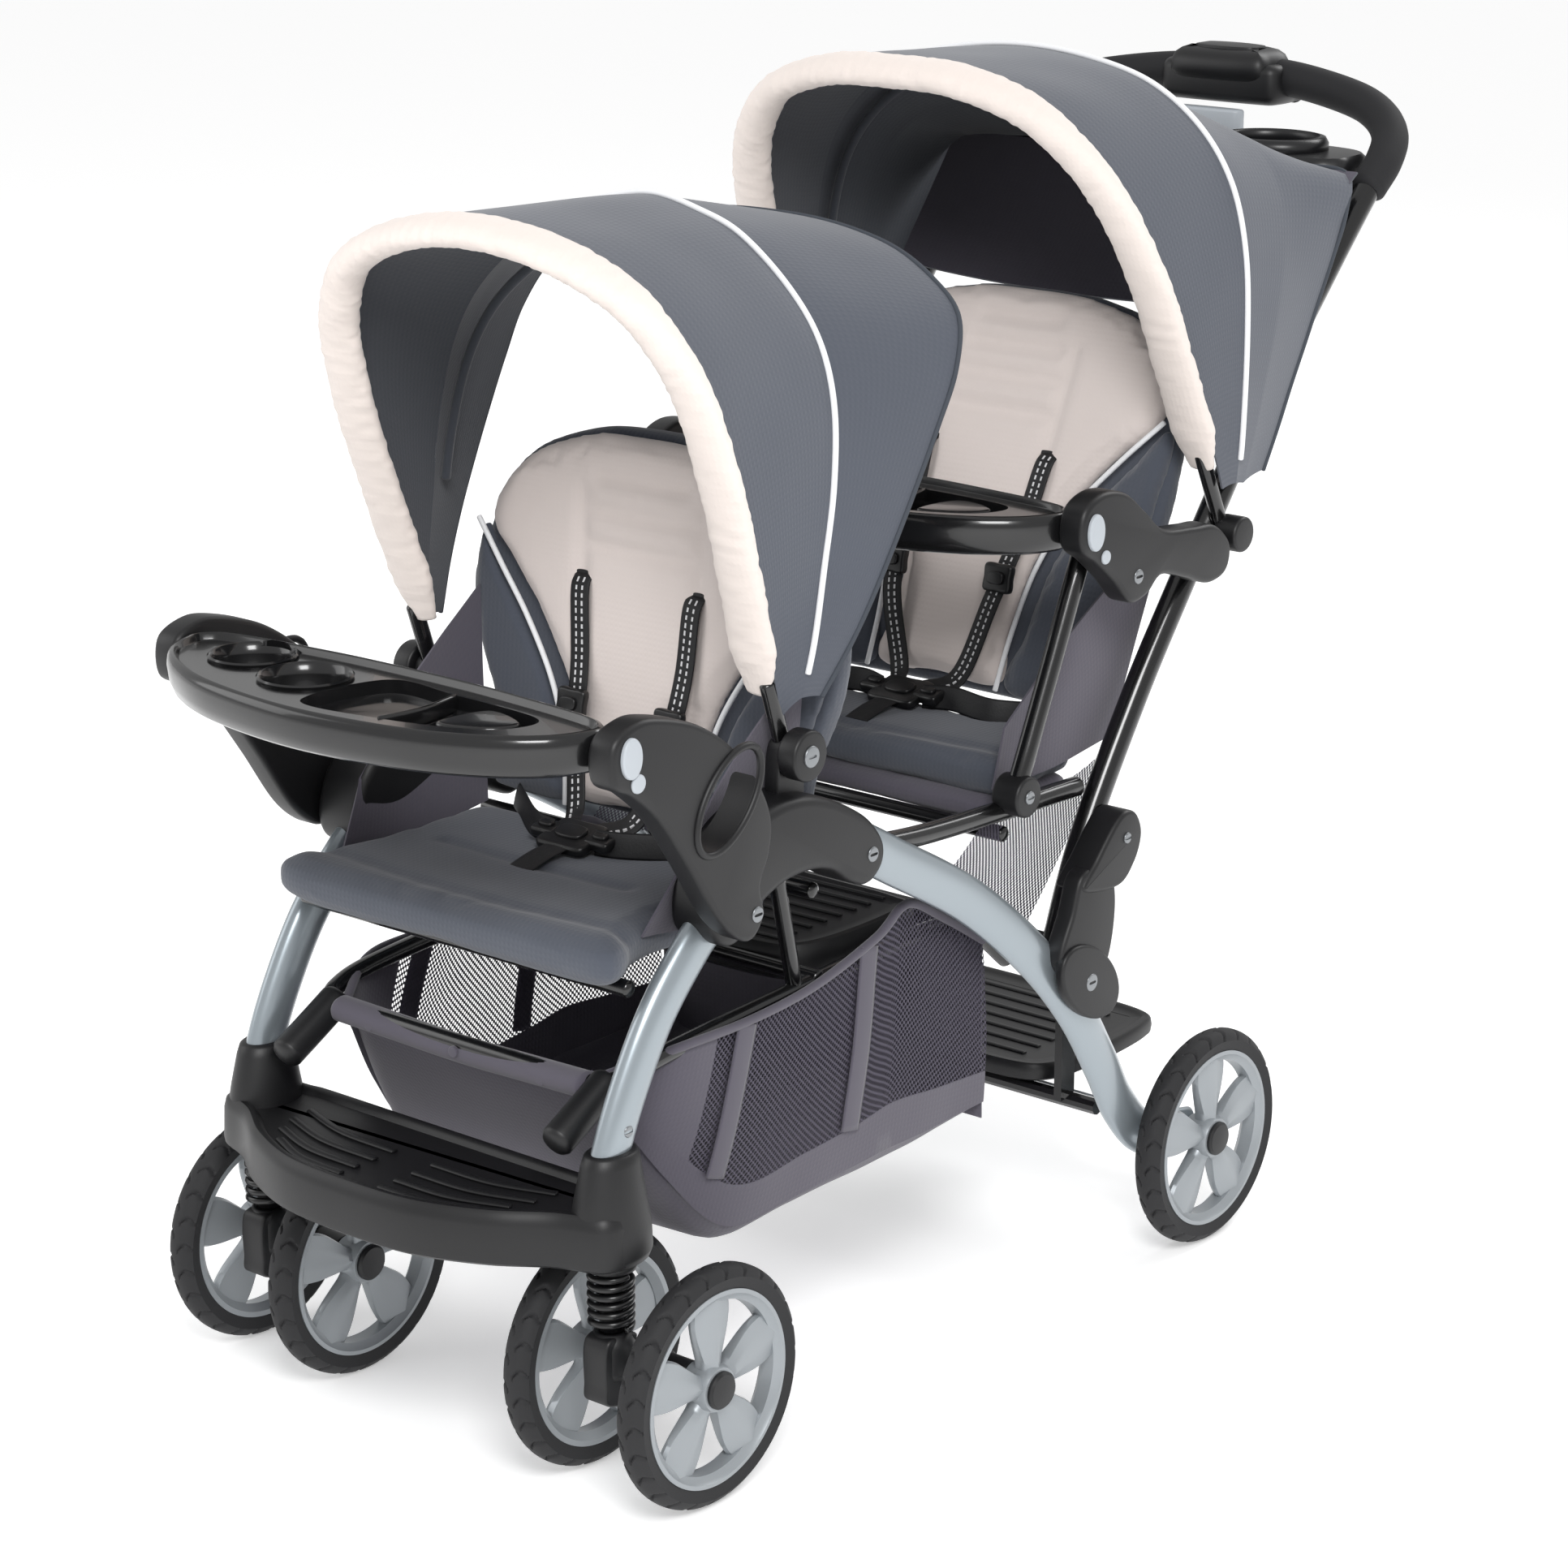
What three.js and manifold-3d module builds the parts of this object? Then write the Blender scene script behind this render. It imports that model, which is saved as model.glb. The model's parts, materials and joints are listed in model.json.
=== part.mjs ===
// Tandem two-seat stroller with a curved oval-tube frame, twin-wheel sprung casters and a standing platform.
// Millimetres. +Z up, the stroller faces -Y, +X is the riders' left. The origin is on the ground under the
// middle of the whole object.
import * as THREE from "three";
import { mergeVertices } from "three/addons/utils/BufferGeometryUtils.js";
import { ConvexGeometry } from "three/addons/geometries/ConvexGeometry.js";
import Module from "manifold-3d";

const wasm = await Module();
wasm.setup();

// ---- driving dimensions ----
const WHEEL_R = 100;
const TYRE_W = 27;
const AXLE_R = 5;
const FRONT_AXLE_Y = -500;
const REAR_AXLE_Y = 196;
const REAR_WHEEL_X = 255;
const CASTER_X = 194;
const CASTER_SPREAD = 60;
const STRUT_Y = -546;
const FRONT_LEG_X = 193;
const PUSH_BAR_X = 205;
const PUSH_BAR_R = 12;
const GRIP_R = 17;
const FOLD_AXIS = [16, 295];
const FRONT_HUB = [-336, 572];
const REAR_HUB = [240, 652];
const ROW_SHIFT = 46;
const GAP = 0.4;
const CLOTH = 3;

// ---- materials ----
const finish = (color, roughness, metalness = 0) =>
  new THREE.MeshStandardMaterial({ color, roughness, metalness });
const silverPaint = finish(0x9aa3a8, 0.35, 0.5);
const silverPlastic = finish(0xa9afb1, 0.4, 0.2);
const blackPlastic = finish(0x1b1b1d, 0.5);
const blackSteel = finish(0x101011, 0.25, 0.4);
const rubber = finish(0x2b2b2c, 0.85);
const foam = finish(0x2d2d30, 0.9);
const greyButton = finish(0x9fa9ad, 0.5);
const slateCloth = finish(0x4c525b, 0.9);
const liningCloth = finish(0x33343d, 0.9);
const beigeCloth = finish(0xcfc3b8, 0.9);
const meshCloth = finish(0x55515c, 0.9);

// ---- solids ----
function solid(geometry) {
  const bare = geometry.index ? geometry.toNonIndexed() : geometry.clone();
  bare.deleteAttribute("normal");
  bare.deleteAttribute("uv");
  const merged = mergeVertices(bare, 1e-3);
  return new wasm.Manifold(new wasm.Mesh({
    numProp: 3,
    vertProperties: merged.attributes.position.array,
    triVerts: new Uint32Array(merged.index.array),
  }));
}

function geometryOf(manifold) {
  const made = manifold.getMesh();
  const geometry = new THREE.BufferGeometry();
  geometry.setAttribute("position", new THREE.BufferAttribute(made.vertProperties, 3));
  geometry.setIndex(new THREE.BufferAttribute(made.triVerts, 1));
  geometry.computeVertexNormals();
  return geometry;
}

const join = (...shapes) => geometryOf(shapes.map(solid).reduce((a, b) => a.add(b)));
const cutSolid = (shape, tools) => tools.map(solid).reduce((a, b) => a.subtract(b), solid(shape));
const cut = (shape, ...tools) => geometryOf(cutSolid(shape, tools));
const largest = (manifold) => manifold.decompose().reduce((a, b) => (b.volume() > a.volume() ? b : a));

// ---- shapes ----
const box = (x0, x1, y0, y1, z0, z1) =>
  new THREE.BoxGeometry(x1 - x0, y1 - y0, z1 - z0).translate((x0 + x1) / 2, (y0 + y1) / 2, (z0 + z1) / 2);

// A cylinder along X, from x0 to x1, around the line through (y, z).
const crossBar = (x0, x1, y, z, r, sides = 16) =>
  new THREE.CylinderGeometry(r, r, x1 - x0, sides).rotateZ(-Math.PI / 2).translate((x0 + x1) / 2, y, z);

const upright = (x, y, z0, z1, r, sides = 16, rTop = r) =>
  new THREE.CylinderGeometry(rTop, r, z1 - z0, sides).rotateX(Math.PI / 2).translate(x, y, (z0 + z1) / 2);

const ovalSection = (halfX, halfY, sides) =>
  new THREE.Shape(Array.from({ length: sides }, (_, i) => {
    const a = (i * 2 * Math.PI) / sides;
    return new THREE.Vector2(halfX * Math.cos(a), halfY * Math.sin(a));
  }));

// A tube of oval section through points in the row frame.
function tube(points, halfX, halfY, steps = 12, sides = 12) {
  const path = new THREE.CatmullRomCurve3(points.map((p) => new THREE.Vector3(...p)), false, "centripetal");
  return new THREE.ExtrudeGeometry(ovalSection(halfX, halfY, sides), { steps, extrudePath: path });
}

// A path made longer at both ends, for cutting clear of a tube's flat ends.
function stretched(path, by) {
  const past = (end, next) => end.map((v, i) => v + ((v - next[i]) * by) / Math.hypot(...end.map((w, k) => w - next[k])));
  return [past(path[0], path[1]), ...path.slice(1, -1), past(path[path.length - 1], path[path.length - 2])];
}

// A plate whose outline lies in the side view (Y, Z), from x0 to x1.
function sidePlate(outline, x0, x1) {
  const shape = new THREE.Shape(outline.map(([y, z]) => new THREE.Vector2(y, z)));
  const sideways = new THREE.Matrix4().makeBasis(
    new THREE.Vector3(0, 1, 0), new THREE.Vector3(0, 0, 1), new THREE.Vector3(1, 0, 0));
  return new THREE.ExtrudeGeometry(shape, { depth: x1 - x0, bevelEnabled: false })
    .applyMatrix4(sideways).translate(x0, 0, 0);
}

// A plate whose outline lies in the plan view (X, Y), from z0 to z1.
function planPlate(outline, z0, z1) {
  const shape = new THREE.Shape(outline.map(([x, y]) => new THREE.Vector2(x, y)));
  return new THREE.ExtrudeGeometry(shape, { depth: z1 - z0, bevelEnabled: false }).translate(0, 0, z0);
}

const mirrored = (half) => [...half, ...half.filter(([x]) => x > 0).reverse().map(([x, ...rest]) => [-x, ...rest])];

// A ring or solid of revolution around X from a closed profile of [radius, x].
const spun = (profile, sides = 24) =>
  new THREE.LatheGeometry([...profile, profile[0]].map(([r, x]) => new THREE.Vector2(r, x)), sides)
    .rotateZ(-Math.PI / 2);

// A smooth curve through [x, s] pairs, sampled evenly.
const sampled = (pairs, count) =>
  new THREE.SplineCurve(pairs.map((p) => new THREE.Vector2(...p))).getPoints(count);

const group = new THREE.Group();
function add(name, geometry, material, position = [0, 0, 0]) {
  const mesh = new THREE.Mesh(geometry, material);
  mesh.name = name;
  mesh.position.set(...position);
  group.add(mesh);
  return mesh;
}
const sides = [["left", 1], ["right", -1]];
const flipX = (geometry, side) => {
  if (side > 0) return geometry;
  const turned = geometry.index ? geometry.toNonIndexed() : geometry.clone();
  const p = turned.attributes.position;
  for (let i = 0; i < p.count; i += 3) {
    const [a, c] = [i, i + 2].map((k) => [-p.getX(k), p.getY(k), p.getZ(k)]);
    p.setX(i + 1, -p.getX(i + 1));
    p.setXYZ(i, ...c);
    p.setXYZ(i + 2, ...a);
  }
  return turned;
};

// ---- wheels: a five-spoke rim with a blind hub bore, and a rubber tyre ----
const RIM_R = 83.6;
const BORE_R = AXLE_R + GAP;
const HUB_HALF = 14;
function rim() {
  const ring = spun([[75, -10], [RIM_R, -10], [RIM_R, 10], [75, 10]]);
  const hub = spun([[BORE_R, -HUB_HALF], [18, -HUB_HALF], [16, HUB_HALF], [BORE_R, HUB_HALF]], 12);
  const cap = crossBar(HUB_HALF - 1, HUB_HALF + 3.5, 0, 0, 14.5, 12);
  const spoke = [[-6, 14], [6, 14], [17, 60], [14, 77], [-14, 77], [-17, 60]];
  const spokes = Array.from({ length: 5 }, (_, i) =>
    sidePlate(spoke, -6, 7).rotateX((i * 2 * Math.PI) / 5));
  return join(ring, hub, cap, ...spokes);
}
const tyre = () => spun([[84, -11], [93, -TYRE_W / 2], [98.5, -8], [WHEEL_R, 0], [98.5, 8], [93, TYRE_W / 2], [84, 11]]);
const rimShape = rim();
const tyreShape = tyre();
function wheel(name, x, y, outward) {
  add(name + "_rim", flipX(rimShape, outward), silverPlastic, [x, y, WHEEL_R]);
  add(name + "_tyre", tyreShape, rubber, [x, y, WHEEL_R]);
}

// ---- sprung twin-wheel casters ----
const STEM_R = 9.5;
const SOCKET_BASE = 206;
const SPRING_TOP = 199;
const SPRING_BASE = 147;
function caster(label, side) {
  const x = side * CASTER_X;
  const stem = join(upright(x, STRUT_Y, 134, 245, STEM_R), upright(x, STRUT_Y, SPRING_TOP + GAP, SOCKET_BASE - GAP, 20));
  add("caster_stem_" + label, stem, blackPlastic);
  const turns = 5;
  const helix = Array.from({ length: turns * 8 + 1 }, (_, i) => {
    const turn = (i / 8) * 2 * Math.PI;
    const rise = SPRING_BASE + 3.4 + (SPRING_TOP - SPRING_BASE - 6.8) * (i / (turns * 8));
    return [x + 16 * Math.cos(turn), STRUT_Y + 16 * Math.sin(turn), rise];
  });
  add("caster_spring_" + label, tube(helix, 2.8, 2.8, turns * 8, 4), blackSteel);
  const web = sidePlate([[-563, 100], [-558, 84], [-500, 84], [-484, 100], [-500, 116], [-529, 128], [-529, 140], [-563, 140]],
    x - 12, x + 12);
  const spool = upright(x, STRUT_Y, 110, SPRING_BASE - GAP, 17);
  const boss = crossBar(x - 44, x + 44, FRONT_AXLE_Y, WHEEL_R, 14);
  const axle = crossBar(x - CASTER_SPREAD - 12, x + CASTER_SPREAD + 12, FRONT_AXLE_Y, WHEEL_R, AXLE_R);
  const bore = upright(x, STRUT_Y, 120, 160, STEM_R + 0.3);
  add("caster_fork_" + label, geometryOf(solid(join(web, spool, boss, axle)).subtract(solid(bore))), blackPlastic);
  wheel("front_outer_wheel_" + label, x + side * CASTER_SPREAD, FRONT_AXLE_Y, side);
  wheel("front_inner_wheel_" + label, x - side * CASTER_SPREAD, FRONT_AXLE_Y, -side);
}

// ---- frame ----
const frontLegPath = [[FRONT_LEG_X, -550, 258], [FRONT_LEG_X, -544, 293], [FRONT_LEG_X, -522, 341],
  [FRONT_LEG_X, -490, 392], [FRONT_LEG_X, -449, 435], [FRONT_LEG_X, -418, 459], [FRONT_LEG_X, -385, 480]];
const rearLegPath = [[206, -285, 493], [206, -250, 474], [207, -213, 453], [213, -116, 396], [224, -40, 331],
  [230, 16, 268], [230, 60, 205], [227, 96, 152], [226, 140, 112], [226, 206, 97]];
const legTube = (path, halfX, halfY, steps, grow) =>
  tube(grow ? stretched(path, grow) : path, halfX + grow, halfY + grow, steps, 12);
const frontLeg = (grow = 0) => legTube(frontLegPath, 12, 19, 10, grow);
const rearLeg = (grow = 0) => legTube(rearLegPath, 10, 20, 14, grow);

const bracketOutline = [[-452, 470], [-440, 503], [-410, 530], [-370, 541], [-330, 538], [-290, 522], [-256, 501],
  [-238, 478], [-240, 458], [-258, 446], [-279, 453], [-302, 468], [-330, 475], [-365, 473], [-398, 460], [-424, 438],
  [-446, 446]];
function sideBracket() {
  const arch = sidePlate(bracketOutline, 172, 222);
  const post = box(188, 202, FRONT_HUB[0] - 13, FRONT_HUB[0] + 13, 525, FRONT_HUB[1] + 8);
  return cut(join(arch, post), frontLeg(GAP), rearLeg(GAP));
}

const TRAY_ARM_X = 249;
const FRONT_BUTTON = [-580, 630];
const REAR_BUTTON = [6, 696];
const buttonOval = (grow, length) =>
  crossBar(-length / 2, length / 2, 0, 0, 1, 18).scale(1, 11 + grow, 16 + grow).translate(TRAY_ARM_X, 0, 0);

function trayArm() {
  const outline = [[-598, 612], [-597, 643], [-570, 655], [-541, 652], [-500, 638], [-462, 613], [-432, 580],
    [-416, 548], [-417, 520], [-428, 494], [-424, 470], [-436, 453], [-452, 455], [-478, 478], [-512, 528], [-545, 572],
    [-575, 598]];
  const ring = new THREE.CylinderGeometry(1, 1, 60, 20).rotateZ(Math.PI / 2).scale(1, 46, 25)
    .rotateX(-0.82).translate(236, -468, 572);
  return cut(sidePlate(outline, 223, TRAY_ARM_X), ring, buttonOval(0.6, 8).translate(0, ...FRONT_BUTTON));
}

function rearTrayArm() {
  const outline = [[-10, 684], [-8, 714], [18, 727], [52, 722], [84, 700], [112, 680], [157, 674], [190, 670],
    [214, 650], [210, 626], [184, 619], [150, 630], [110, 640], [88, 627], [64, 624], [40, 646], [12, 668]];
  return cut(sidePlate(outline, 223, TRAY_ARM_X), buttonOval(0.6, 8).translate(0, ...REAR_BUTTON));
}

// Footboard with the two leg sockets moulded on, hollow underneath.
const footboardHalf = [[0, -650], [70, -645], [130, -622], [175, -592], [216, -575], [221, -545], [210, -512],
  [170, -508], [150, -506], [0, -506]];
function footrest() {
  const board = planPlate(mirrored(footboardHalf), 206, 252);
  const hollowHalf = footboardHalf.map(([x, y]) => [x * 0.7, -578 + (y + 578) * 0.86]);
  const hollow = planPlate(mirrored(hollowHalf), 190, 246);
  const tray = planPlate(mirrored([[0, -636], [60, -632], [110, -612], [135, -585], [135, -500], [0, -500]]), 248, 300);
  const sockets = sides.map(([, side]) =>
    new THREE.CylinderGeometry(1, 1.22, 90, 18).rotateX(Math.PI / 2).scale(24, 30, 1)
      .translate(side * FRONT_LEG_X, -545, SOCKET_BASE + 45));
  const legs = sides.map(([, side]) => flipX(frontLeg(GAP), side));
  const bores = sides.map(([, side]) => upright(side * CASTER_X, STRUT_Y, 190, 250, STEM_R + 0.4));
  return cut(join(cut(board, hollow, tray), ...sockets), ...legs, ...bores);
}

const BRAKE_X = 203;
const BRAKE_AXIS = [176, 112];

const RAIL_X = 166;
const railPath = [[RAIL_X + 8, -6, 306], [RAIL_X + 2, -40, 335], [RAIL_X, -100, 356], [RAIL_X, -300, 350], [RAIL_X, -440, 342],
  [RAIL_X - 4, -490, 334], [150, -505, 329], [120, -508, 327]];
function basketRail(grow = 0) {
  const side = tube(railPath, 8 + grow, 8 + grow, 14, 8);
  const front = crossBar(-125, 125, -508, 327, 8 + grow, 8);
  const tee = new THREE.CylinderGeometry(13, 14.5, 62, 12).rotateX(0.49).translate(151, -530, 313);
  const tees = [tee, flipX(tee, -1)];
  return join(front, side, flipX(side, -1), ...tees);
}

const PLATFORM_Z = 158;
function standingPlatform() {
  const outline = [[0, 70], [120, 70], [158, 92], [166, 150], [160, 235], [140, 262], [0, 268]];
  return cut(planPlate(mirrored(outline), PLATFORM_Z, PLATFORM_Z + 18),
    box(-150, 150, 96, 250, PLATFORM_Z - 2, PLATFORM_Z + 12));
}

function platformFrame() {
  const bar = crossBar(-213, 213, 84, 150, 7.5, 10);
  const straps = sides.map(([, side]) => box(side * 176 - 4, side * 176 + 4, 74, 94, 150, 300));
  const top = crossBar(-176, 176, 84, 296, 6, 8);
  return join(bar, ...straps, top);
}

function benchSeat() {
  const outline = [[0, -262], [100, -260], [140, -240], [150, -170], [142, -96], [110, -82], [0, -80]];
  return cut(planPlate(mirrored(outline), 340, 372), box(-138, 138, -246, -94, 338, 364));
}

// ---- trays ----
const trayHalf = [[0, -692], [100, -680], [165, -655], [205, -624], [221, -592], [218, -572], [190, -556], [100, -546],
  [0, -543]];
function cupTray(top) {
  const body = planPlate(mirrored(trayHalf), top - 34, top);
  const cups = [[-144, -588, 33], [-66, -606, 35]];
  const outer = cups.map(([x, y, r]) => upright(x, y, top - 46, top - 2, r + 3, 20));
  const inner = cups.map(([x, y, r]) => upright(x, y, top - 42, top + 4, r, 20));
  const pocket = planPlate([[-18, -662], [60, -658], [130, -634], [158, -606], [150, -572], [-8, -566], [-22, -580]],
    top - 22, top + 4);
  return cut(join(body, ...outer), ...inner, pocket);
}
const TRAY_SHIFT = [587, 62];
const FRONT_TRAY_TOP = 648;

function trayButtonPair(prefix, [y, z]) {
  for (const [label, side] of sides) {
    const oval = buttonOval(0, 5).translate(1.5, y, z);
    add(prefix + "_button_" + label, flipX(oval, side), greyButton);
  }
}

// ---- seats ----
function roundedSlab(halfOutline, thickness) {
  return new THREE.ExtrudeGeometry(
    new THREE.Shape(mirrored(halfOutline).map(([x, z]) => new THREE.Vector2(x, z))),
    { depth: thickness, bevelEnabled: false }).rotateX(Math.PI / 2);
}

// ---- canopies: sections of one arch profile turned about the hub axis ----
const frontArch = [[200, 40], [206, 130], [210, 225], [203, 292], [182, 350], [146, 398], [88, 434], [0, 448]];
const rearArch = [[218, 48], [222, 118], [224, 222], [216, 308], [192, 370], [150, 416], [88, 445], [0, 455]];
const FRONT_BOW_ANGLE = 71;
const REAR_BOW_ANGLE = 64;

function archPoints(half, count) {
  const right = sampled(half, count);
  const left = right.slice(0, -1).reverse().map((p) => new THREE.Vector2(-p.x, p.y));
  return [...right, ...left];
}
// Points of an arch in the plane at an angle from forward-horizontal, about a hub axis.
function archAt(hub, profile, degrees) {
  const a = THREE.MathUtils.degToRad(degrees);
  return profile.map((p) => new THREE.Vector3(p.x, hub[0] - p.y * Math.cos(a), hub[1] + p.y * Math.sin(a)));
}

function bow(hub, half, degrees, r, inset = 0) {
  const pts = archPoints(half.map(([x, s]) => [Math.max(x - inset, 0), s - (s > 60 ? inset : 0)]), 7);
  return tube(archAt(hub, pts, degrees).map((v) => v.toArray()), r, r, 34, 8);
}
const hubArm = (hub, half, degrees, x0, x1) => {
  const a = THREE.MathUtils.degToRad(degrees);
  const reach = half[0][1] + 10;
  return join(crossBar(x0, x1, hub[0], hub[1], 17),
    box(x0, x1, -7, 7, 0, reach).rotateX(Math.PI / 2 - a).translate(0, hub[0], hub[1]));
};

// A closed cloth shell through sections, each [degrees, half profile].
function clothShell(hub, sections, thickness, across = 9) {
  const rows = sections.map(([degrees, half]) => {
    const outer = archPoints(half, across);
    const inner = archPoints(half.map(([x, s], i) => [Math.max(x - thickness, 0), s - (i ? thickness : 0)]), across);
    return [archAt(hub, outer, degrees), archAt(hub, inner, degrees)];
  });
  const position = [];
  const quad = (a, b, c, d) => [a, c, b, a, d, c].forEach((v) => position.push(v.x, v.y, v.z));
  for (let i = 0; i + 1 < rows.length; i += 1) {
    const [[o0, n0], [o1, n1]] = [rows[i], rows[i + 1]];
    for (let j = 0; j + 1 < o0.length; j += 1) {
      quad(o0[j], o0[j + 1], o1[j + 1], o1[j]);
      quad(n0[j], n1[j], n1[j + 1], n0[j + 1]);
    }
    const last = o0.length - 1;
    quad(o0[0], o1[0], n1[0], n0[0]);
    quad(o0[last], n0[last], n1[last], o1[last]);
  }
  const [first, end] = [rows[0], rows[rows.length - 1]];
  for (let j = 0; j + 1 < first[0].length; j += 1) {
    quad(first[0][j], first[1][j], first[1][j + 1], first[0][j + 1]);
    quad(end[0][j], end[0][j + 1], end[1][j + 1], end[1][j]);
  }
  const geometry = new THREE.BufferGeometry();
  geometry.setAttribute("position", new THREE.Float32BufferAttribute(position, 3));
  return geometry;
}

const scaledArch = (half, kx, ks) => half.map(([x, s], i) => [x * kx, i ? s * ks : s]);

const CLOTH_INSIDE = 0.955;

// ---- assembly ----
for (const [label, side] of sides) {
  caster(label, side);
  wheel("rear_wheel_" + label, side * REAR_WHEEL_X, REAR_AXLE_Y, side);
  add("front_leg_" + label, flipX(frontLeg(), side), silverPaint);
  add("rear_leg_" + label, flipX(cut(rearLeg(), crossBar(200, 260, REAR_AXLE_Y, WHEEL_R, AXLE_R + GAP, 24)), side), silverPaint);
  add("side_bracket_" + label, flipX(sideBracket(), side), blackPlastic);
  add("tray_arm_" + label, flipX(trayArm(), side), blackPlastic);
}
add("footrest", footrest(), blackPlastic);
add("basket_rail", basketRail(), blackSteel);
add("rear_axle", crossBar(-REAR_WHEEL_X - 12, REAR_WHEEL_X + 12, REAR_AXLE_Y, WHEEL_R, AXLE_R, 16), blackSteel);
add("standing_platform", standingPlatform(), blackPlastic);
add("platform_frame", platformFrame(), blackSteel);
add("brake_bar", join(crossBar(-BRAKE_X - 12, BRAKE_X + 12, ...BRAKE_AXIS, 5, 10), box(-46, 46, 240, 274, 112, 121),
  ...sides.map(([, side]) => box(side * 34 - 5, side * 34 + 5, 174, 262, 112, 119))), greyButton);
add("bench_seat", benchSeat(), blackPlastic);
add("front_seat_pad", planPlate(mirrored([[0, -548], [120, -546], [168, -530], [170, -500], [168, -320], [0, -316]]), 424, 452),
  slateCloth);

const basketOuter = mirrored([[148, -500, 318], [186, -380, 345], [188, -52, 342], [176, -393, 164], [188, -50, 172]])
  .map((p) => new THREE.Vector3(...p));
const basketInner = mirrored([[145, -495, 322], [183, -380, 349], [185, -55, 349], [173, -390, 168], [185, -54, 176]])
  .map((p) => new THREE.Vector3(...p));
add("basket", cut(new ConvexGeometry(basketOuter), new ConvexGeometry(basketInner), box(-145, 145, -497, -55, 317, 352),
  basketRail(GAP)), meshCloth);

add("front_tray", cupTray(FRONT_TRAY_TOP), blackPlastic);
trayButtonPair("front_tray", FRONT_BUTTON);
add("front_seat_back", roundedSlab([[0, 0], [160, 0], [164, 82], [190, 120], [196, 190], [182, 258], [140, 306], [70, 330], [0, 334]],
  36), beigeCloth, [0, -262, 458]).rotation.x = -0.08;

const frontHub = hubArm(FRONT_HUB, frontArch, FRONT_BOW_ANGLE, 203, 216);
const frontBow = (grow) => join(bow(FRONT_HUB, frontArch, FRONT_BOW_ANGLE, 7 + grow), frontHub, flipX(frontHub, -1));
add("front_canopy_bow", frontBow(0), beigeCloth);
const canopyCloth = (shell, ...clear) => geometryOf(largest(cutSolid(shell, clear)));
add("front_canopy_cloth", canopyCloth(clothShell(FRONT_HUB,
  [[FRONT_BOW_ANGLE + 3.5, 0.975], [86, 0.955], [97, 0.955], [108, 0.96], [119, 0.975]]
    .map(([degrees, reach]) => [degrees, scaledArch(frontArch, CLOTH_INSIDE, reach)]), CLOTH), frontBow(GAP),
  ...sides.map(([, side]) => crossBar(...(side > 0 ? [190, 217] : [-217, -190]), ...FRONT_HUB, 17 + GAP))), slateCloth);

// Push bar with its foam grips, console and parent tray.
const pushSide = [[PUSH_BAR_X, FOLD_AXIS[0], FOLD_AXIS[1] + 2], [PUSH_BAR_X, 58, 400], [PUSH_BAR_X + 1, 130, 515],
  [PUSH_BAR_X + 3, 196, 607], [PUSH_BAR_X + 6, 300, 744], [PUSH_BAR_X + 10, 400, 858], [PUSH_BAR_X + 12, 468, 930]];
const gripSide = [[216, 496, 952], [205, 523, 971], [178, 545, 987], [138, 560, 998], [68, 571, 1008]];
const wholeWidth = (half) => [...half, [0, 573, 1010], ...half.slice().reverse().map(([x, y, z]) => [-x, y, z])];
const pushPath = wholeWidth([...pushSide, ...gripSide]);
const CONSOLE_HALF = 64;
for (const [label, side] of sides) {
  const boss = crossBar(241, 249, 0, 0, 1, 20).scale(1, 50, 29).rotateX(-0.65).translate(0, ...FOLD_AXIS);
  const armOutline = [[-24, 318], [4, 392], [50, 386], [56, 330], [40, 290]];
  const arm = sidePlate(armOutline, 241, 249);
  const latch = sidePlate([[6, 380], [24, 398], [58, 430], [80, 428], [88, 408], [78, 388], [52, 372]], 218, 249);
  add("fold_cover_" + label, flipX(join(boss, arm, latch), side), blackPlastic);
  add("rear_tray_arm_" + label, flipX(rearTrayArm(), side), blackPlastic);
  const post = tube([[208, -38, 484], [208, 44, 660]], 9, 9, 1, 12);
  const foot = crossBar(196, 221, -42, 470, 17, 14);
  add("rear_post_" + label, flipX(join(post, foot), side), blackSteel);
}
const pushBar = (r, steps) => tube(pushPath, r, r, steps, 10);
add("push_bar", pushBar(PUSH_BAR_R, 44), blackSteel);
add("handle_grip", geometryOf(solid(tube(wholeWidth([[217, 470, 932], ...gripSide]), GRIP_R, GRIP_R, 24, 12))
  .subtract(solid(pushBar(PUSH_BAR_R + 1, 44)))), foam);
const consoleOutline = [[536, 996], [546, 982], [580, 984], [598, 1000], [600, 1020], [588, 1034], [560, 1036], [540, 1024]];
add("console", cut(sidePlate(consoleOutline, -CONSOLE_HALF, CONSOLE_HALF),
  tube(wholeWidth(gripSide), GRIP_R + 0.6, GRIP_R + 0.6, 28, 16)), blackPlastic);
add("fold_release", box(-32, 30, 528, 542, 958, 980), greyButton);
const parentHalf = [[0, 432], [150, 436], [192, 452], [197, 480], [188, 512], [150, 530], [0, 534]];
const cupCentres = [[102, 486], [-102, 486]];
const parentTray = cut(
  join(planPlate(mirrored(parentHalf), 912, 956), ...cupCentres.map(([x, y]) => upright(x, y, 894, 968, 46, 20))),
  ...cupCentres.map(([x, y]) => upright(x, y, 899, 980, 41, 20)), box(-46, 46, 448, 520, 922, 960));
add("parent_tray", parentTray, blackPlastic);
add("parent_tray_lid", box(-50, 50, 444, 524, 956 + GAP, 960), blackPlastic);

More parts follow.
